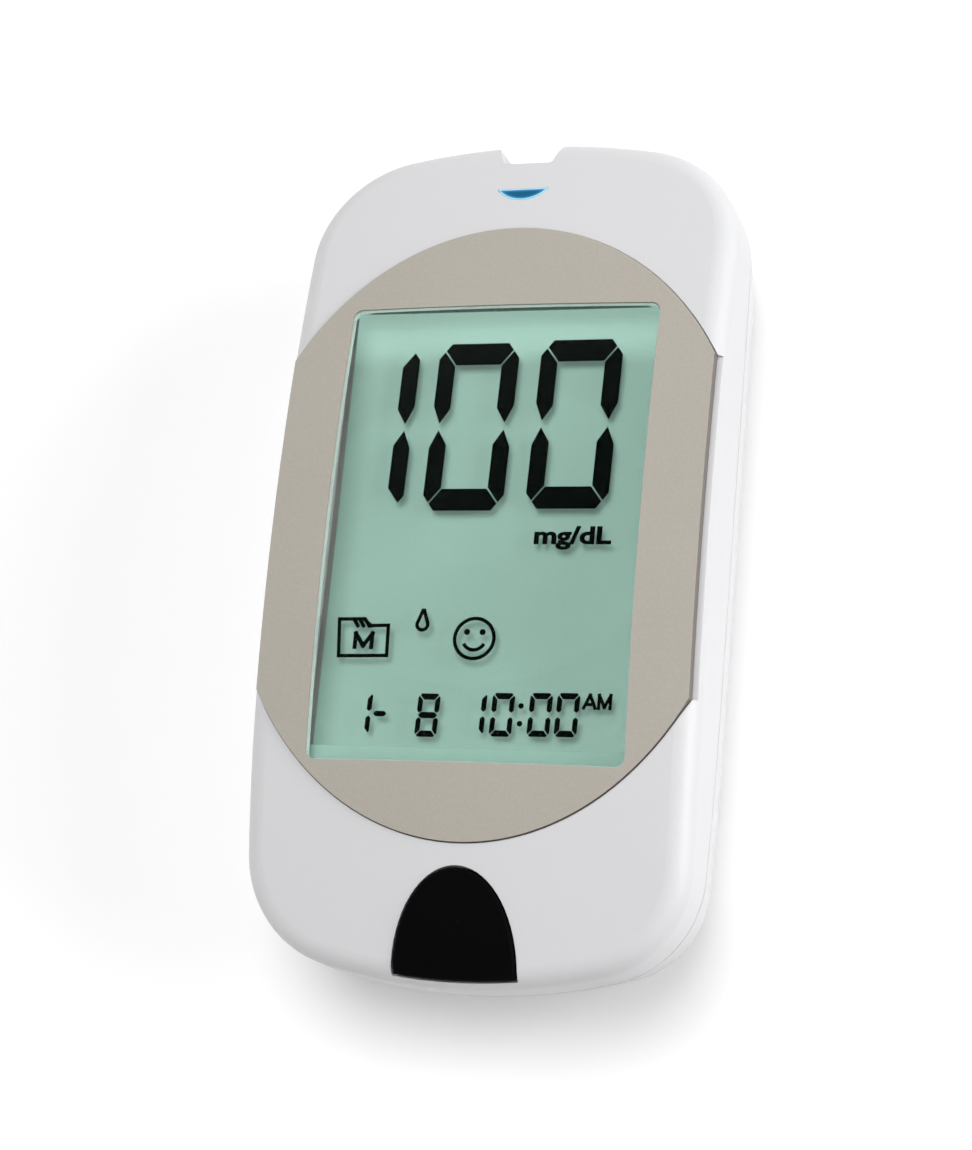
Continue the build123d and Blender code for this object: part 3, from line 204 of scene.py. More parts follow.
class Graph:
    """Shorthand for wiring the nodes of a material or a group."""

    def __init__(self, tree):
        self.tree = tree

    def link(self, value, socket):
        """Links an output to a socket, or sets the socket to a plain value."""
        if isinstance(value, bpy.types.NodeSocket):
            self.tree.links.new(value, socket)
        else:
            socket.default_value = value

    def add(self, kind, **values):
        """Adds a node. A value goes to the property or input of its name, and iN to input number N."""
        node = self.tree.nodes.new("ShaderNode" + kind)
        for name, value in values.items():
            if hasattr(node, name):
                setattr(node, name, value)
            elif name[0] == "i" and name[1:].isdigit():
                self.link(value, node.inputs[int(name[1:])])
            else:
                self.link(value, node.inputs[name.replace("_", " ")])
        return node

    def math(self, operation, first, second=0.0):
        return self.add("Math", operation=operation, i0=first, i1=second).outputs[0]

    def vector(self, operation, first, second=(0.0, 0.0, 0.0)):
        node = self.add("VectorMath", operation=operation, i0=first, i1=second)
        return node.outputs["Value"] if operation in {"LENGTH", "DOT_PRODUCT"} else node.outputs["Vector"]

    def mix(self, factor, first, second):
        """A blend of two colours."""
        return self.add("Mix", data_type="RGBA", i0=factor, i6=first, i7=second).outputs[2]

    def ramp(self, value, low, high):
        """0 below low, 1 above high."""
        return self.add("MapRange", i0=value, i1=low, i2=high).outputs[0]

    def between(self, value, low, high, soft):
        """1 where a value lies between low and high."""
        rise = self.ramp(value, low - soft, low + soft)
        return self.math("MULTIPLY", rise, self.ramp(value, high + soft, high - soft))

    def place(self):
        """Object coordinates, in metres."""
        return self.add("TexCoord").outputs["Object"]

    def axis(self, name, vector=None):
        """One coordinate of a vector, or of the place on the piece."""
        return self.add("SeparateXYZ", Vector=self.place() if vector is None else vector).outputs[name]

    def field(self, x, y, left, right, foot, head, soft):
        """1 inside a rectangle of x and y."""
        return self.math("MULTIPLY", self.between(x, left, right, soft), self.between(y, foot, head, soft))

    def noise(self, scale, detail=2.0, **values):
        """Soft noise, its scale per metre."""
        if "Vector" not in values:
            values["Vector"] = self.place()
        return self.add("TexNoise", Scale=scale, Detail=detail, **values).outputs[0]

    def speckle(self, scale, detail, low, high, share):
        """Specks or clouds where the noise rises from low to high, share at the most."""
        return self.math("MULTIPLY", self.ramp(self.noise(scale, detail), low, high), share)


def rgba(value):
    return (*value[:3], 1.0)


def shader_group(name, inputs, outputs):
    """An empty shader group with its sockets, and its input and output nodes."""
    tree = bpy.data.node_groups.new(name, "ShaderNodeTree")
    for label, kind, default in inputs:
        socket = tree.interface.new_socket(name=label, in_out="INPUT", socket_type="NodeSocket" + kind)
        socket.default_value = default
    for label, kind in outputs:
        tree.interface.new_socket(name=label, in_out="OUTPUT", socket_type="NodeSocket" + kind)
    return Graph(tree), tree.nodes.new("NodeGroupInput").outputs, tree.nodes.new("NodeGroupOutput").inputs


def moulded_group():
    """Grain, slow colour drift, fine dust and polished edges of moulded and painted plastic, with a
    painted highlight that lightens the colour along the edges.
    """
    graph, given, result = shader_group(
        "Moulded surface",
        [
            ("Colour", "Color", (0.8, 0.8, 0.8, 1.0)),
            ("Roughness", "Float", 0.5),
            ("Grain size", "Float", 0.25 * MM),
            ("Grain depth", "Float", 0.2),
            ("Drift", "Float", 0.04),
            ("Edge radius", "Float", 0.12 * MM),
            ("Painted edge highlight", "Float", 0.15),
            ("Dust", "Float", 0.05),
        ],
        [("Colour", "Color"), ("Roughness", "Float"), ("Normal", "Vector")],
    )
    place = graph.place()
    rounded = graph.add("Bevel", samples=4, Radius=given["Edge radius"]).outputs["Normal"]
    true_normal = graph.add("NewGeometry").outputs["True Normal"]
    turned = graph.vector("DOT_PRODUCT", rounded, true_normal)
    edge = graph.ramp(turned, 0.995, 0.8)
    pitch = graph.math("DIVIDE", 1.0, given["Grain size"])
    grain = graph.noise(pitch, 3.0, Vector=place, Roughness=0.6)
    pits = graph.add("TexVoronoi", Vector=place, Scale=pitch, feature="SMOOTH_F1").outputs["Distance"]
    height = graph.math("ADD", grain, graph.math("MULTIPLY", pits, 0.6))
    bump = graph.add(
        "Bump", Strength=given["Grain depth"], Distance=0.03 * MM, Height=height, Normal=rounded
    )
    slow = graph.noise(60.0, 4.0, Vector=place, Roughness=0.55)
    drift = graph.math("MULTIPLY", graph.math("SUBTRACT", slow, 0.5), given["Drift"])
    dust = graph.speckle(2600.0, 1.0, 0.72, 0.8, given["Dust"])
    # painted highlight: the colour is lightened towards white along rounded edges
    painted_highlight = graph.math("MULTIPLY", edge, given["Painted edge highlight"])
    lift = graph.math("ADD", graph.math("ADD", drift, dust), painted_highlight)
    white_part = graph.math("MAXIMUM", lift, 0.0)
    black_part = graph.math("MAXIMUM", graph.math("MULTIPLY", lift, -1.0), 0.0)
    lighter = graph.mix(white_part, given["Colour"], WHITE)
    graph.link(graph.mix(black_part, lighter, BLACK), result["Colour"])
    handled = graph.math("MULTIPLY", graph.math("SUBTRACT", 0.5, slow), 0.25)
    worn = graph.math("MULTIPLY", edge, -0.12)
    rough = graph.math("ADD", graph.math("ADD", given["Roughness"], handled), worn)
    graph.link(graph.ramp(rough, 0.0, 1.0), result["Roughness"])
    graph.link(bump.outputs[0], result["Normal"])


def metal_group():
    """Drawn or rolled metal: streaks along one axis, faint tarnish and bright rounded edges."""
    graph, given, result = shader_group(
        "Worked metal",
        [
            ("Colour", "Color", (0.6, 0.6, 0.6, 1.0)),
            ("Roughness", "Float", 0.3),
            ("Streak", "Vector", (1.0, 12.0, 12.0)),
            ("Tarnish", "Float", 0.2),
        ],
        [("Colour", "Color"), ("Roughness", "Float"), ("Normal", "Vector")],
    )
    stretched = graph.vector("MULTIPLY", graph.place(), given["Streak"])
    streak = graph.noise(900.0, 4.0, Vector=stretched, Roughness=0.7)
    stain = graph.speckle(220.0, 3.0, 0.45, 0.75, given["Tarnish"])
    graph.link(graph.mix(stain, given["Colour"], (0.12, 0.1, 0.08, 1.0)), result["Colour"])
    drawn = graph.math("MULTIPLY", graph.math("SUBTRACT", streak, 0.5), 0.3)
    rough = graph.math("ADD", given["Roughness"], drawn)
    graph.link(graph.math("ADD", rough, graph.math("MULTIPLY", stain, 0.4)), result["Roughness"])
    rounded = graph.add("Bevel", samples=4, Radius=0.08 * MM).outputs["Normal"]
    bump = graph.add("Bump", Strength=0.15, Distance=0.02 * MM, Height=streak, Normal=rounded)
    graph.link(bump.outputs[0], result["Normal"])


# ----------------------------------------------------------------- materials


def blank(name, **values):
    """A material with a Principled shader wired to its output. Values go to the shader's inputs."""
    material = bpy.data.materials.new(name)
    material.use_nodes = True
    material.node_tree.nodes.clear()
    graph = Graph(material.node_tree)
    skin = graph.add("BsdfPrincipled", **values)
    graph.link(skin.outputs[0], graph.add("OutputMaterial").inputs["Surface"])
    return material, graph, skin


def take_group(graph, skin, name, values):
    """Places a surface group with its own values and feeds it into the shader."""
    node = graph.add("Group", node_tree=bpy.data.node_groups[name])
    for label, value in values.items():
        graph.link(value, node.inputs[label])
    graph.link(node.outputs["Colour"], skin.inputs["Base Color"])
    graph.link(node.outputs["Roughness"], skin.inputs["Roughness"])
    graph.link(node.outputs["Normal"], skin.inputs["Normal"])
    return node


def moulded(
    name,
    tint,
    roughness=0.5,
    grain=0.25,
    depth=0.2,
    drift=0.04,
    edge=0.12,
    painted_edge_highlight=0.12,
    dust=0.05,
    glow=None,
    **shader,
):
    """A moulded or painted plastic, its grain and edge in millimetres.

    tint and glow may be functions of the graph, for a colour or light that changes over the piece.
    Further values go to the shader's inputs.
    """
    material, graph, skin = blank(name, **shader)
    values = {
        "Colour": tint(graph) if callable(tint) else rgba(tint),
        "Roughness": roughness,
        "Grain size": grain * MM,
        "Grain depth": depth,
        "Drift": drift,
        "Edge radius": edge * MM,
        "Painted edge highlight": painted_edge_highlight,
        "Dust": dust,
    }
    surface = take_group(graph, skin, "Moulded surface", values)
    if glow is not None:
        graph.link(surface.outputs["Colour"], skin.inputs["Emission Color"])
        graph.link(glow(graph) if callable(glow) else glow, skin.inputs["Emission Strength"])
    return material


def metal(name, tint, roughness, streak, tarnish):
    """A worked metal, drawn out along the axis where streak is smallest."""
    material, graph, skin = blank(name, Metallic=1.0)
    values = {"Colour": rgba(tint), "Roughness": roughness, "Streak": streak, "Tarnish": tarnish}
    take_group(graph, skin, "Worked metal", values)
    return material


def lens_acrylic(painted_edge_glow_tint):
    """Clear plastic with faint handling haze and frosted sawn edges. A painted glow in a tint of the
    display lies on these edges, standing in for the display's light seen in them.
    """
    material, graph, skin = blank(
        "Lens acrylic",
        Base_Color=(0.985, 0.99, 0.985, 1.0),
        IOR=1.49,
        Transmission_Weight=1.0,
        # a coat against glare leaves little of the reflection
        Specular_Tint=(0.02, 0.02, 0.02, 1.0),
        Emission_Color=rgba(painted_edge_glow_tint),
    )
    true_normal = graph.add("NewGeometry").outputs["True Normal"]
    sawn = graph.ramp(graph.math("ABSOLUTE", graph.axis("Z", true_normal)), 0.6, 0.3)
    haze = graph.speckle(180.0, 3.0, 0.55, 0.9, 0.04)
    graph.link(graph.math("MAXIMUM", haze, graph.math("MULTIPLY", sawn, 0.65)), skin.inputs["Roughness"])
    # painted light: the sawn edges glow in the display's tint, though they are no lamp
    graph.link(graph.math("MULTIPLY", sawn, 0.5), skin.inputs["Emission Strength"])
    return material


def film(name, tint, alpha, roughness, ledge=None):
    """A thin layer of the display, seen mostly through. ledge (height, tint) prints its low end solid."""
    material, graph, skin = blank(name, Base_Color=rgba(tint), Alpha=alpha, Specular_IOR_Level=0.0)
    if ledge:
        height, print_tint = ledge
        printed = graph.ramp(graph.axis("Y"), height + 0.03 * MM, height)
        graph.link(graph.mix(printed, rgba(tint), rgba(print_tint)), skin.inputs["Base Color"])
        graph.link(graph.math("MAXIMUM", printed, alpha), skin.inputs["Alpha"])
    cloud = graph.math("MULTIPLY", graph.noise(300.0), 0.1)
    graph.link(graph.math("ADD", roughness, cloud), skin.inputs["Roughness"])
    return material


def switched_segment():
    """The material of the display's picture, made once."""
    return bpy.data.materials.get("Switched segment") or moulded(
        "Switched segment",
        ink_tone,
        roughness=0.6,
        grain=0.1,
        depth=0.0,
        drift=0.0,
        edge=0.01,
        painted_edge_highlight=0.0,
        dust=0.0,
        Specular_IOR_Level=0.0,
    )


def dress(material, *names):
    """Puts a material on CAD nodes."""
    for name in names:
        for slot in NODES[name].material_slots:
            slot.material = material


# -------------------------------------------------------------------- paints


def plate_paint(graph):
    """Flecked paint on the face of the display plate. Its sideways faces are darker outside the window,
    and the walls of the window carry a painted shade, a darker copy of the plate colour.
    """
    finish = settings("finish")
    low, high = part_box("display_lens")
    rim, soft = 1.2 * MM, 0.02 * MM
    x, y = graph.axis("X"), graph.axis("Y")
    painted_window_shade_mask = graph.field(x, y, low.x + rim, high.x - rim, low.y + rim, high.y - rim, soft)
    # painted shade: the walls of the window get a darker copy of the plate colour
    edge = graph.mix(painted_window_shade_mask, rgba(finish.plate_edge), rgba(Vector(finish.plate) * 0.75))
    fleck = graph.speckle(3200.0, 2.0, 0.45, 0.7, 0.08)
    face = graph.mix(fleck, rgba(finish.plate), (0.7, 0.66, 0.6, 1.0))
    upward = graph.axis("Z", graph.add("TexCoord").outputs["Normal"])
    return graph.mix(graph.ramp(upward, 0.25, 0.6), edge, face)


def label_print(graph):
    """A ruled frame with empty rows, and a cell for the date of manufacture."""
    low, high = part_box("rear_label")
    x, y = graph.axis("X"), graph.axis("Y")
    margin, line, soft, rows = 0.8 * MM, 0.16 * MM, 0.02 * MM, 4
    left, right, foot, head = low.x + margin, high.x - margin, low.y + margin, high.y - margin
    outer = graph.field(x, y, left, right, foot, head, soft)
    inner = graph.field(x, y, left + line, right - line, foot + line, head - line, soft)
    marks = graph.math("SUBTRACT", outer, inner)
    rules = [(y, foot + (head - foot) * row / rows) for row in range(1, rows)]
    rules.append((x, right - (right - left) / 4))
    for axis, at in rules:
        stroke = graph.math("MULTIPLY", graph.between(axis, at, at + line, soft), inner)
        marks = graph.math("MAXIMUM", marks, stroke)
    return graph.mix(marks, (0.66, 0.66, 0.65, 1.0), (0.2, 0.2, 0.21, 1.0))


def pearl(graph):
    """The grey green of the reflector, a little uneven."""
    ground = Vector(settings("display").ground)
    slow = graph.ramp(graph.noise(45.0), 0.35, 0.65)
    uneven = graph.mix(slow, rgba(ground * 0.96), rgba(ground * 1.05))
    return graph.mix(graph.speckle(2400.0, 2.0, 0.4, 0.7, 0.08), uneven, (0.5, 0.7, 0.6, 1.0))


def painted_reflector_glow(graph):
    """Painted glow of the reflector, which is no lamp, stronger towards its edge at the strip port, where
    it lifts the shade that the display's frame casts on it.
    """
    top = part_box("lcd_reflector")[1].y
    painted_glow_near_port = graph.ramp(graph.axis("Y"), top - 6.5 * MM, top - 2.2 * MM)
    return graph.math("ADD", graph.math("MULTIPLY", painted_glow_near_port, 0.6), settings("display").glow)


def contact_layers(graph):
    """Conducting and insulating layers in turn, side by side."""
    pitch = 0.25 * MM
    wave = graph.math("SINE", graph.math("MULTIPLY", graph.axis("X"), FULL_TURN / pitch))
    return graph.mix(graph.ramp(wave, -0.2, 0.2), (0.02, 0.02, 0.022, 1.0), (0.3, 0.28, 0.27, 1.0))


def crescent_light(graph):
    """Blue that pales from the middle of the light guide's crescent to its rim."""
    finish = settings("finish")
    points = [vert.co for vert in NODES["port_light"].data.vertices]
    top = max(point.z for point in points)
    crescent = [point for point in points if point.z > top - 1.0 * MM]
    straight = max(point.y for point in crescent)
    tall = straight - min(point.y for point in crescent)
    half = max(point.x for point in crescent)
    radius = (tall**2 + half**2) / (2 * tall)
    from_centre = graph.vector("SUBTRACT", graph.place(), (0.0, straight - tall + radius, 0.0))
    flat = graph.vector("LENGTH", graph.vector("MULTIPLY", from_centre, (1.0, 1.0, 0.0)))
    to_arc = graph.math("SUBTRACT", radius, flat)
    depth = graph.math("MINIMUM", to_arc, graph.math("SUBTRACT", straight, graph.axis("Y")))
    inside = graph.ramp(depth, 0.03 * MM, 0.17 * MM)
    body = graph.mix(inside, rgba(finish.light_rim), rgba(finish.light_body))
    return graph.mix(graph.ramp(depth, 0.15 * MM, 0.42 * MM), body, rgba(finish.light_heart))


def board_tracks(graph):
    """Tracks under the solder mask, and gilt vias."""
    mask = rgba(settings("finish").board)
    place = graph.place()
    lanes = graph.add("TexVoronoi", Vector=place, Scale=420.0, distance="MANHATTAN", feature="F1")
    net = graph.math("PINGPONG", graph.math("MULTIPLY", lanes.outputs["Distance"], 6.0), 0.5)
    copper = graph.mix(0.75, (0.16, 0.42, 0.16, 1.0), mask)
    masked = graph.mix(graph.ramp(net, 0.3, 0.36), mask, copper)
    vias = graph.add("TexVoronoi", Vector=place, Scale=260.0, feature="F1").outputs["Distance"]
    return graph.mix(graph.ramp(vias, 0.09, 0.06), masked, (0.5, 0.42, 0.2, 1.0))


def fired_ceramic(graph):
    """Two browns in soft patches."""
    patches = graph.ramp(graph.noise(500.0), 0.4, 0.6)
    return graph.mix(patches, (0.42, 0.33, 0.24, 1.0), (0.3, 0.23, 0.17, 1.0))


def cell_print(name, turned):
    """The paint of a cell's sleeve, with a pale band and plus sign.

    turned is 1 where the bare end lies at +Y and -1 where it lies at -Y.
    """
    low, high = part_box(name)
    middle = (low + high) / 2
    half = (high.y - low.y) / 2
    arm, stroke, soft = 1.5 * MM, 0.3 * MM, 0.03 * MM

    def paint(graph):
        x, y = graph.axis("X"), graph.axis("Y")
        along = graph.math("MULTIPLY", graph.math("SUBTRACT", y, middle.y), turned / half)
        band = graph.between(along, 0.5, 0.66, 0.002)
        aside = graph.math("SUBTRACT", x, middle.x)
        up = graph.math("SUBTRACT", y, middle.y + turned * half * 0.82)
        level = graph.field(aside, up, -arm, arm, -stroke, stroke, soft)
        upright = graph.field(aside, up, -stroke, stroke, -arm, arm, soft)
        marks = graph.math("MAXIMUM", band, graph.math("MAXIMUM", level, upright))
        printed = graph.mix(marks, rgba(settings("finish").sleeve), (0.72, 0.74, 0.76, 1.0))
        return graph.mix(graph.ramp(along, 0.958, 0.962), printed, (0.6, 0.6, 0.6, 1.0))

    return paint


def ink_tone(graph):
    """The dark of a switched segment, a little uneven."""
    ink = Vector(settings("display").ink)
    return graph.mix(graph.noise(700.0), rgba(ink), rgba(ink * 2.0))


# ------------------------------------------------------------- piece helpers


def finish_piece(name, mesh, material, body="housing"):
    """Names a mesh, gives it its material and fixes it to a body."""
    mesh.name = name
    mesh.materials.clear()
    mesh.materials.append(material)
    piece = bpy.data.objects.new(name, mesh)
    bpy.context.scene.collection.objects.link(piece)
    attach(piece, body)
    return piece


def mesh_of(bm, name):
    """Turns a bmesh into a mesh, doubles merged and faces outwards."""
    bmesh.ops.remove_doubles(bm, verts=bm.verts, dist=0.0005 * MM)
    bmesh.ops.recalc_face_normals(bm, faces=bm.faces)
    mesh = bpy.data.meshes.new(name)
    bm.to_mesh(mesh)
    bm.free()
    return mesh


def verts_in(geometry):
    """The vertices among the parts of a bmesh."""
    return [part for part in geometry if isinstance(part, bmesh.types.BMVert)]


def unit_square(bm, place):
    """A square with sides of 1 round the origin, moved by a matrix. Gives its vertices."""
    return bmesh.ops.create_grid(bm, x_segments=1, y_segments=1, size=0.5, matrix=place)["verts"]


def flat_shape(bm, low, high, cuts=()):
    """A rectangle from low to high, each cut (point, outward normal) taking one side off it."""
    middle = ((low[0] + high[0]) / 2, (low[1] + high[1]) / 2, 0.0)
    place = Matrix.Translation(middle) @ Matrix.Diagonal((high[0] - low[0], high[1] - low[1], 1.0, 1.0))
    corners = unit_square(bm, place)
    face = corners[0].link_faces[0]
    geometry = [*corners, *face.edges, face]
    for point, normal in cuts:
        # the length of the normal scales the tolerance
        facing = Vector((*normal, 0.0)).normalized()
        kept = bmesh.ops.bisect_plane(
            bm, geom=geometry, dist=1e-7, plane_co=(*point, 0.0), plane_no=facing, clear_outer=True
        )
        geometry = [part for part in kept["geom"] if part.is_valid]
    return verts_in(geometry)


def ring(bm, centre, outer, stroke, start=0.0, turn=FULL_TURN, steps=48):
    """A flat ring or arc of the given stroke, spun about its centre."""
    ends = [
        bm.verts.new((centre[0] + cos(start) * reach, centre[1] + sin(start) * reach, 0.0))
        for reach in (outer - stroke, outer)
    ]
    bmesh.ops.spin(
        bm,
        geom=[*ends, bm.edges.new(ends)],
        cent=(*centre, 0.0),
        axis=(0, 0, 1),
        angle=turn,
        steps=steps,
        use_merge=turn == FULL_TURN,
    )


def dot(bm, centre, radius, steps=24):
    """A flat disc."""
    place = Matrix.Translation((*centre, 0.0))
    bmesh.ops.create_circle(bm, cap_ends=True, segments=steps, radius=radius, matrix=place)


def bar(bm, start, end, stroke):
    """A flat straight stroke between two points, reaching half its width past each."""
    start, end = Vector(start), Vector(end)
    run = end - start
    place = Matrix.Translation((*((start + end) / 2), 0.0))
    turned = Matrix.Rotation(run.angle_signed(Vector((1.0, 0.0))), 4, "Z")
    unit_square(bm, place @ turned @ Matrix.Diagonal((run.length + stroke, stroke, 1.0, 1.0)))


def capital_m(bm, corner, wide, cap, stroke):
    """An M from straight strokes, its lower left corner at corner."""
    left, right, foot, head = stroke / 2, wide - stroke / 2, stroke / 2, cap - stroke / 2
    dip = (wide / 2, foot * 1.6)
    for start, end in (
        ((left, foot), (left, head)),
        ((right, foot), (right, head)),
        ((left, head), dip),
        ((right, head), dip),
    ):
        bar(bm, corner + Vector(start), corner + Vector(end), stroke)


def capital_a(bm, corner, wide, cap, stroke):
    """An A from straight strokes, its lower left corner at corner."""
    left, right, foot, head = stroke / 2, wide - stroke / 2, stroke / 2, cap - stroke / 2
    peak = (wide / 2, head)
    for start, end in (
        ((left, foot), peak),
        ((right, foot), peak),
        ((wide * 0.25, cap * 0.32), (wide * 0.75, cap * 0.32)),
    ):
        bar(bm, corner + Vector(start), corner + Vector(end), stroke)


def seven_segments(bm, sign, corner, wide, high, upright, level, gap, lean, taper=0.55):
    """The switched segments of one digit, its lower left corner at corner.

    taper is the height of the inner point of an upright, as a share of its width.
    """
    half = high / 2
    # an upright starts at the waist, and the middle level is inset at both ends
    waist = half + gap * 2.4
    inset = gap * 1.5
    tip = upright * taper
    # the corners of the digit are cut off by these lengths
    chamfer_x, chamfer_y = wide * 0.145, high * 0.092
    chamfer = ((0.0, high - chamfer_y), (-chamfer_y, chamfer_x))
    outer = Vector((0.0, high))
    mitre = Vector((level, upright)).normalized()
    made = []
    for segment in DIGITS[sign]:
        # an upright is drawn as the upper left one and a level as the top one, then mirrored
        if segment in "bcef":
            low, top = (0.0, waist), (upright, high)
            point = (upright * 0.45, waist)
            cuts = [
                chamfer,
                (outer - mitre * gap / 2, mitre),
                (point, (-tip * 1.9, -upright * 0.45)),
                (point, (tip * 1.6, -upright * 0.55)),
            ]
        elif segment == "g":
            low, top = (inset, half - level / 2), (wide - inset, half + level / 2)
            cuts = [((x, half), (side, up)) for x, side in ((low[0], -1), (top[0], 1)) for up in (1, -1)]
        else:
            low, top = (0.0, high - level), (wide, high)
            cuts = [chamfer, (outer + mitre * gap / 2, -mitre)]
            cuts += [((wide - x, y), (-across, up)) for (x, y), (across, up) in cuts]
        verts = flat_shape(bm, low, top, cuts)
        for vert in verts:
            if segment in "bc":
                vert.co.x = wide - vert.co.x
            if segment in "cde":
                vert.co.y = high - vert.co.y
        made += verts
    for vert in made:
        vert.co.x += tan(lean) * (vert.co.y - half)
    bmesh.ops.translate(bm, verts=made, vec=(*corner, 0.0))


def lettering(bm, words, left, base, wide, cap, bold):
    """Words as flat faces, their capital height and total width as asked."""
    curve = bpy.data.curves.new("Lettering", "FONT")
    curve.body = words
    curve.size = 1.0
    curve.offset = bold
    curve.resolution_u = 4
    holder = bpy.data.objects.new("Lettering", curve)
    bpy.context.scene.collection.objects.link(holder)
    bpy.context.view_layer.update()
    mesh = bpy.data.meshes.new_from_object(holder.evaluated_get(bpy.context.evaluated_depsgraph_get()))
    bpy.data.objects.remove(holder)
    bpy.data.curves.remove(curve)
    old = set(bm.verts)
    bm.from_mesh(mesh)
    bpy.data.meshes.remove(mesh)
    new = [vert for vert in bm.verts if vert not in old]
    low_x = min(vert.co.x for vert in new)
    high_x = max(vert.co.x for vert in new)
    grow = Matrix.Diagonal((wide / (high_x - low_x), cap / FONT_CAPITAL, 1.0, 1.0))
    place = Matrix.Translation((left, base, 0.0)) @ grow @ Matrix.Translation((-low_x, 0, 0))
    bmesh.ops.transform(bm, verts=new, matrix=place)
    for vert in new:
        vert.co.z = 0.0


def ink_piece(name, bm):
    """A flat drawing becomes a switched part of the display, in the gap between its two glasses."""
    depth = settings("display").ink_depth
    picture_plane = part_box("lcd_rear_glass")[1].z
    bmesh.ops.recalc_face_normals(bm, faces=bm.faces)
    top = bmesh.ops.extrude_face_region(bm, geom=bm.faces[:])
    bmesh.ops.translate(bm, verts=verts_in(top["geom"]), vec=(0, 0, depth))
    bmesh.ops.translate(bm, verts=bm.verts, vec=(0, 0, picture_plane - depth / 2))
    return finish_piece(name, mesh_of(bm, name), switched_segment())


def gull_lead(bm, root, out, rise):
    """A flat lead: out of a package's side, down to the board and out along it."""
    wide, thick = 0.36 * MM, 0.12 * MM
    side = Vector((-out.y, out.x, 0.0))
    start = unit_square(bm, Matrix())
    turned = Matrix((side * wide, Vector((0.0, 0.0, thick)), out)).transposed().to_4x4()
    bmesh.ops.transform(bm, verts=start, matrix=Matrix.Translation(root) @ turned)
    faces = list(start[0].link_faces)
    neck, knee, toe = (out * reach * MM for reach in (0.2, 0.16, 0.45))
    for number, step in enumerate((neck, knee + Vector((0.0, 0.0, -rise)), toe)):
        made = bmesh.ops.extrude_face_region(bm, geom=faces)["geom"]
        # the first face closes the lead's root, the later ones would stay inside it
        if number:
            bmesh.ops.delete(bm, geom=faces, context="FACES_ONLY")
        faces = [part for part in made if isinstance(part, bmesh.types.BMFace)]
        bmesh.ops.translate(bm, verts=verts_in(made), vec=step)


# ------------------------------------------------------------ studio helpers


def seen_directly(graph):
    """1 for rays that show a thing as background, straight, mirrored or through glass."""
    path = graph.add("LightPath")
    seen = graph.math("MAXIMUM", path.outputs["Is Camera Ray"], path.outputs["Is Glossy Ray"])
    return graph.math("MAXIMUM", seen, path.outputs["Is Transmission Ray"])


def lay_floor(studio):
    """A wide matt floor just under the meter."""
    clearance = 0.02 * MM
    bm = bmesh.new()
    bmesh.ops.create_grid(bm, x_segments=8, y_segments=8, size=studio.floor_size / 2)
    bmesh.ops.translate(bm, verts=bm.verts, vec=(0, 0, CAD_BOX[0][2] - clearance))
    mesh = bpy.data.meshes.new("studio_floor")
    bm.to_mesh(mesh)
    bm.free()
    floor = bpy.data.objects.new("studio_floor", mesh)
    bpy.context.scene.collection.objects.link(floor)
    material, graph, skin = blank(
        "Studio floor",
        Base_Color=rgba((studio.floor_tone,) * 3),
        Roughness=1.0,
        Specular_IOR_Level=0.0,
        Emission_Color=WHITE,
    )
    light = graph.math("MULTIPLY", seen_directly(graph), studio.floor_glow)
    graph.link(light, skin.inputs["Emission Strength"])
    mesh.materials.append(material)


def light_surround(studio):
    """A white world, at full strength where it is seen directly."""
    world = bpy.data.worlds.new("Studio surround")
    bpy.context.scene.world = world
    world.use_nodes = True
    world.node_tree.nodes.clear()
    graph = Graph(world.node_tree)
    strength = graph.add("MapRange", i0=seen_directly(graph), i3=studio.surround, i4=1.0).outputs[0]
    light = graph.add("Background", Color=WHITE, Strength=strength)
    graph.link(light.outputs[0], graph.add("OutputWorld").inputs["Surface"])


def hang_lamp(name, strength, towards, spread):
    """A distant lamp that shines from the direction given, spread in degrees."""
    data = bpy.data.lights.new(name, "SUN")
    data.energy = strength
    data.angle = radians(spread)
    lamp = bpy.data.objects.new(name, data)
    lamp.rotation_euler = Vector(towards).to_track_quat("Z", "Y").to_euler()
    lamp.location = Vector(towards).normalized()
    lamp.visible_transmission = False
    bpy.context.scene.collection.objects.link(lamp)
    return lamp


def set_up_camera(studio):
    """The scene's camera."""
    data = bpy.data.cameras.new("Studio camera")
    data.lens = studio.camera_lens
    data.sensor_width = 36.0
    data.sensor_fit = "AUTO"
    data.clip_start = 0.01
    data.clip_end = 20.0
    camera = bpy.data.objects.new("Studio camera", data)
    camera.rotation_mode = "ZXY"
    camera.location = studio.camera_place
    camera.rotation_euler = studio.camera_turn
    bpy.context.scene.collection.objects.link(camera)
    bpy.context.scene.camera = camera


# ----------------------------------------------------------------- operators


class METER_OT_finish_case(bpy.types.Operator):
    """Case shells, battery cover, display plate, screws and rear label"""

    bl_idname = "meter.finish_case"
    bl_label = "Finish the case"

    def execute(self, context):
        case = moulded(
            "White moulding",
            settings("finish").case,
            roughness=0.42,
            grain=0.22,
            depth=0.12,
            drift=0.03,
            edge=0.15,
            painted_edge_highlight=0.1,
            Specular_IOR_Level=0.35,
        )
        plate = moulded(
            "Plate paint",
            plate_paint,
            grain=0.12,
            depth=0.08,
            drift=0.05,
            edge=0.08,
            painted_edge_highlight=0.04,
            Specular_IOR_Level=0.3,
        )
        paper = moulded(
            "Label film",
            label_print,
            roughness=0.6,
            grain=0.3,
            depth=0.05,
            drift=0.03,
            edge=0.03,
            painted_edge_highlight=0.0,
        )
        steel = metal("Zinc plated steel", (0.52, 0.53, 0.54), 0.34, (6.0, 6.0, 1.0), 0.15)
        dress(case, "front_shell", "rear_shell", "battery_cover")
        dress(plate, "display_plate")
        dress(paper, "rear_label")
        dress(steel, "case_screws")
        return {"FINISHED"}


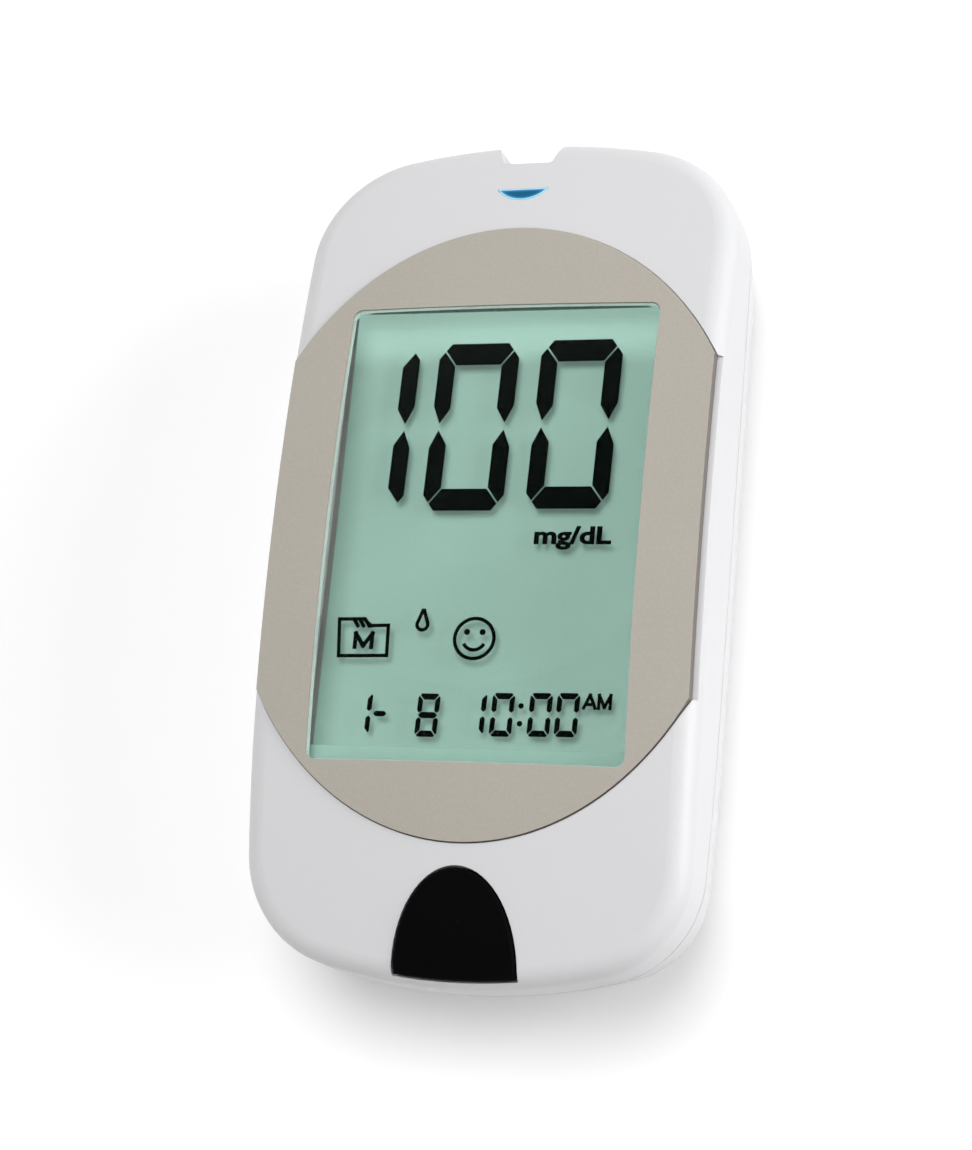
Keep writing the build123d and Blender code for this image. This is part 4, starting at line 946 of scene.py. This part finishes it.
class METER_OT_finish_display(bpy.types.Operator):
    """Lens, polariser, glasses, reflector, holder and contact strip"""

    bl_idname = "meter.finish_display"
    bl_label = "Finish the display"

    def execute(self, context):
        ground = Vector(settings("display").ground)
        ledge = (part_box("lcd_reflector")[0].y, ground * 0.88)
        glass = (0.01, 0.03, 0.02)
        clear_layers = {
            # the lens's sawn edges glow with a painted light in a darker tint of the reflector
            "display_lens": lens_acrylic(ground * 0.7),
            "lcd_front_polariser": film("Polariser film", (0.01, 0.02, 0.016), alpha=0.05, roughness=0.4),
            "lcd_rear_glass": film("Display glass", glass, alpha=0.02, roughness=0.1),
            "lcd_front_glass": film("Ledged display glass", glass, alpha=0.02, roughness=0.1, ledge=ledge),
        }
        for name, material in clear_layers.items():
            dress(material, name)
            # lamp light reaches the reflector straight through the clear layers
            NODES[name].visible_shadow = False
        reflector = moulded(
            "Pearl reflector",
            pearl,
            grain=0.1,
            depth=0.1,
            drift=0.03,
            edge=0.03,
            painted_edge_highlight=0.0,
            dust=0.0,
            # painted light: the reflector glows though it is no lamp
            glow=painted_reflector_glow,
            Specular_IOR_Level=0.2,
        )
        holder = moulded("White holder plastic", (0.7, 0.7, 0.68), roughness=0.55, grain=0.3, depth=0.15)
        rubber = moulded("Layered contact rubber", contact_layers, roughness=0.8, grain=0.2)
        dress(reflector, "lcd_reflector")
        dress(holder, "lcd_holder", "set_button")
        dress(rubber, "lcd_contact_strip")
        return {"FINISHED"}


class METER_OT_finish_controls(bpy.types.Operator):
    """Main button, switches, buzzer and the light guide of the strip port"""

    bl_idname = "meter.finish_controls"
    bl_label = "Finish the controls"

    def execute(self, context):
        button = moulded(
            "Button plastic",
            settings("finish").button,
            roughness=0.7,
            grain=0.2,
            drift=0.002,
            painted_edge_highlight=0.003,
            dust=0.004,
            Specular_IOR_Level=0.03,
        )
        black = moulded("Black engineering plastic", (0.04, 0.04, 0.045), grain=0.2, painted_edge_highlight=0.05)
        guide = moulded(
            "Blue light guide",
            crescent_light,
            roughness=0.35,
            grain=0.2,
            depth=0.05,
            drift=0.0,
            edge=0.06,
            painted_edge_highlight=0.0,
            dust=0.0,
            glow=0.25,
            Specular_IOR_Level=0.2,
        )
        dress(button, "main_button")
        dress(black, "main_switch", "main_switch_plunger", "set_switch", "set_switch_plunger", "buzzer")
        dress(guide, "port_light")
        return {"FINISHED"}


class METER_OT_finish_board(bpy.types.Operator):
    """Circuit board, chips and small parts"""

    bl_idname = "meter.finish_board"
    bl_label = "Finish the board"

    def execute(self, context):
        board = moulded(
            "Solder mask",
            board_tracks,
            roughness=0.32,
            grain=0.4,
            depth=0.1,
            drift=0.05,
            edge=0.05,
            painted_edge_highlight=0.05,
        )
        package = moulded(
            "Chip package",
            (0.03, 0.03, 0.032),
            roughness=0.6,
            grain=0.12,
            depth=0.3,
            drift=0.02,
            edge=0.05,
            painted_edge_highlight=0.05,
        )
        ceramic = moulded("Fired ceramic", fired_ceramic, roughness=0.45, grain=0.15, depth=0.1)
        connector = moulded("Connector plastic", (0.62, 0.6, 0.55), depth=0.15)
        dress(board, "circuit_board")
        dress(package, "processor_chip", "memory_chip", "sensor_chip")
        dress(ceramic, "board_passives", "port_led")
        dress(metal("Pressed can steel", (0.6, 0.6, 0.6), 0.28, (1.0, 12.0, 12.0), 0.1), "clock_crystal")
        dress(connector, "strip_connector")
        dress(metal("Gold flash", (0.78, 0.58, 0.22), 0.22, (12.0, 1.0, 12.0), 0.05), "strip_contacts")
        return {"FINISHED"}


class METER_OT_fit_leads(bpy.types.Operator):
    """Leads of the chips, from their sides down to the board"""

    bl_idname = "meter.fit_leads"
    bl_label = "Fit the chip leads"

    def execute(self, context):
        bm = bmesh.new()
        # half a lead's thickness over the board, and a little more
        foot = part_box("circuit_board")[1].z + 0.07 * MM
        # length of a side that stays free of leads, and how deep a lead starts in the package
        free, sunk = 0.8 * MM, 0.12 * MM
        for name, (pitch, sides) in CHIP_SIDES.items():
            pitch *= MM
            low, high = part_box(name)
            middle = (low + high) / 2
            for across in sides:
                along = 1 - across
                count = int((high[along] - low[along] - free) / pitch) + 1
                for sign, edge in ((-1.0, low), (1.0, high)):
                    out = Vector((0.0, 0.0, 0.0))
                    out[across] = sign
                    for i in range(count):
                        root = middle.copy()
                        root[across] = edge[across] - sign * sunk
                        root[along] += (i - (count - 1) / 2) * pitch
                        gull_lead(bm, root, out, root.z - foot)
        tinned = metal("Tinned leads", (0.62, 0.62, 0.6), 0.3, (3.0, 3.0, 3.0), 0.1)
        finish_piece("chip_leads", mesh_of(bm, "chip_leads"), tinned)
        return {"FINISHED"}


class METER_OT_finish_power(bpy.types.Operator):
    """Cells, springs and the plates that join them"""

    bl_idname = "meter.finish_power"
    bl_label = "Finish the cells"

    def execute(self, context):
        for side, turned in (("left", 1.0), ("right", -1.0)):
            cell = moulded(
                "Cell sleeve " + side,
                cell_print("battery_" + side, turned),
                roughness=0.3,
                grain=0.5,
                depth=0.03,
                drift=0.02,
                edge=0.1,
                painted_edge_highlight=0.05,
                Coat_Weight=0.4,
                Coat_Roughness=0.15,
            )
            dress(cell, "battery_" + side)
        nickel = metal("Nickel plated steel", (0.66, 0.65, 0.62), 0.25, (12.0, 12.0, 1.0), 0.12)
        dress(nickel, "battery_link_plate", "battery_terminals")
        dress(metal("Spring wire", (0.55, 0.55, 0.55), 0.3, (4.0, 4.0, 4.0), 0.1), "battery_springs")
        return {"FINISHED"}


class METER_OT_draw_reading(bpy.types.Operator):
    """The large number and its unit"""

    bl_idname = "meter.draw_reading"
    bl_label = "Draw the reading"

    def execute(self, context):
        display = settings("display")
        bm = bmesh.new()
        for sign, corner in zip(display.reading, READING_CORNERS):
            seven_segments(
                bm,
                sign,
                Vector(corner) * MM,
                display.digit_width,
                display.digit_height,
                display.upright_stroke,
                display.level_stroke,
                display.segment_gap,
                display.segment_lean,
            )
        ink_piece("reading_digits", bm)
        bm = bmesh.new()
        lettering(bm, display.unit, left=4.85 * MM, base=0.0, wide=8.65 * MM, cap=1.95 * MM, bold=0.036)
        ink_piece("unit_sign", bm)
        return {"FINISHED"}


class METER_OT_draw_signs(bpy.types.Operator):
    """Memory folder, blood drop and face"""

    bl_idname = "meter.draw_signs"
    bl_label = "Draw the signs"

    def execute(self, context):
        stroke = SIGN_STROKE
        bm = bmesh.new()
        points = [Vector(point) * MM for point in FOLDER_OUTLINE]
        for start, end in zip(points, points[1:] + points[:1]):
            bar(bm, start, end, stroke)
        # slanted marks on the folder's tab
        head, foot, slant, pitch = -8.68, -9.36, 0.5, 0.66
        for step in range(3):
            x = (-14.85 + pitch * step) * MM
            bar(bm, (x, head * MM), (x + slant * MM, foot * MM), stroke * 1.1)
        capital_m(bm, Vector((-14.7, -12.0)) * MM, 2.4 * MM, 2.0 * MM, 0.48 * MM)
        ink_piece("memory_sign", bm)

        bm = bmesh.new()
        centre = Vector((-6.9, -9.15)) * MM
        radius, shoulder = 0.82 * MM, radians(35.0)
        ring(bm, centre, radius, stroke, pi - shoulder, pi + 2 * shoulder, 30)
        peak = centre + Vector((0.0, 1.95 * MM))
        for side in (-1.0, 1.0):
            foot = centre + Vector((side * cos(shoulder), sin(shoulder))) * (radius - stroke / 2)
            bar(bm, foot, peak - Vector((-side * stroke * 0.2, stroke)), stroke)
        ink_piece("drop_sign", bm)

        bm = bmesh.new()
        centre = Vector((-0.85, -10.65)) * MM
        ring(bm, centre, 2.42 * MM, stroke)
        for side in (-1.0, 1.0):
            dot(bm, centre + Vector((side * 0.88, 0.72)) * MM, 0.34 * MM)
        mouth = centre + Vector((0.0, 0.04 * MM))
        ring(bm, mouth, 1.5 * MM, stroke, radians(208.0), radians(124.0), 24)
        ink_piece("face_sign", bm)
        return {"FINISHED"}


class METER_OT_draw_clock(bpy.types.Operator):
    """Date and time along the lower edge"""

    bl_idname = "meter.draw_clock"
    bl_label = "Draw the clock"

    def execute(self, context):
        bm = bmesh.new()
        upright, level, gap, lean = 0.56 * MM, 0.68 * MM, 0.1 * MM, radians(1.5)
        high = 4.75 * MM
        for sign, *corner in CLOCK_DIGITS:
            place = Vector(corner) * MM
            seven_segments(bm, sign, place, 2.5 * MM, high, upright, level, gap, lean, taper=0.25)
        dash = Vector((-11.68, -21.5)) * MM
        seven_segments(bm, "-", dash, 1.85 * MM, high, upright, 0.6 * MM, gap, lean)
        # the colon
        for row in (-17.95, -19.87):
            dot(bm, Vector((5.08, row)) * MM, 0.31 * MM, 16)
        capital_a(bm, Vector((11.8, -18.2)) * MM, 1.6 * MM, 1.75 * MM, 0.36 * MM)
        capital_m(bm, Vector((13.42, -18.2)) * MM, 1.6 * MM, 1.75 * MM, 0.35 * MM)
        ink_piece("clock_line", bm)
        return {"FINISHED"}


class METER_OT_build_studio(bpy.types.Operator):
    """Floor, lamps, surround and camera"""

    bl_idname = "meter.build_studio"
    bl_label = "Build the studio"

    def execute(self, context):
        studio = settings("studio")
        lay_floor(studio)
        light_surround(studio)
        # the key light stands where glossy faces would mirror it, so only its diffuse light shows
        hang_lamp("Key light", studio.key, (-0.03, 0.34, 1.0), 40.0).visible_glossy = False
        hang_lamp("Side light", studio.side, (1.0, 0.12, 0.22), 44.0)
        hang_lamp("Fill light", studio.fill, (-1.0, -0.7, 0.25), 60.0).data.use_shadow = False
        set_up_camera(studio)
        context.scene.view_settings.view_transform = "Standard"
        return {"FINISHED"}


# --------------------------------------------------------------- registration


class METER_PT_sidebar(bpy.types.Panel):
    """Sidebar panel of the meter's steps"""

    bl_idname = "METER_PT_sidebar"
    bl_label = "Glucose meter"
    bl_space_type = "VIEW_3D"
    bl_region_type = "UI"
    bl_category = "Meter"

    def draw(self, context):
        for step in STEPS:
            self.layout.operator(step.bl_idname)


STEPS = (
    METER_OT_finish_case,
    METER_OT_finish_display,
    METER_OT_finish_controls,
    METER_OT_finish_board,
    METER_OT_fit_leads,
    METER_OT_finish_power,
    METER_OT_draw_reading,
    METER_OT_draw_signs,
    METER_OT_draw_clock,
    METER_OT_build_studio,
)
GROUPS = {
    "meter_display": MeterDisplaySettings,
    "meter_finish": MeterFinishSettings,
    "meter_studio": MeterStudioSettings,
}


def register():
    for kind in (*GROUPS.values(), *STEPS, METER_PT_sidebar):
        bpy.utils.register_class(kind)
    for name, kind in GROUPS.items():
        setattr(bpy.types.Scene, name, PointerProperty(type=kind))


def unregister():
    for name in GROUPS:
        delattr(bpy.types.Scene, name)
    for kind in reversed((*GROUPS.values(), *STEPS, METER_PT_sidebar)):
        bpy.utils.unregister_class(kind)


def main():
    register()
    moulded_group()
    metal_group()
    for step in STEPS:
        area, _, name = step.bl_idname.partition(".")
        if getattr(getattr(bpy.ops, area), name)() != {"FINISHED"}:
            raise RuntimeError(step.bl_label + " did not finish")


if __name__ == "__main__":
    main()
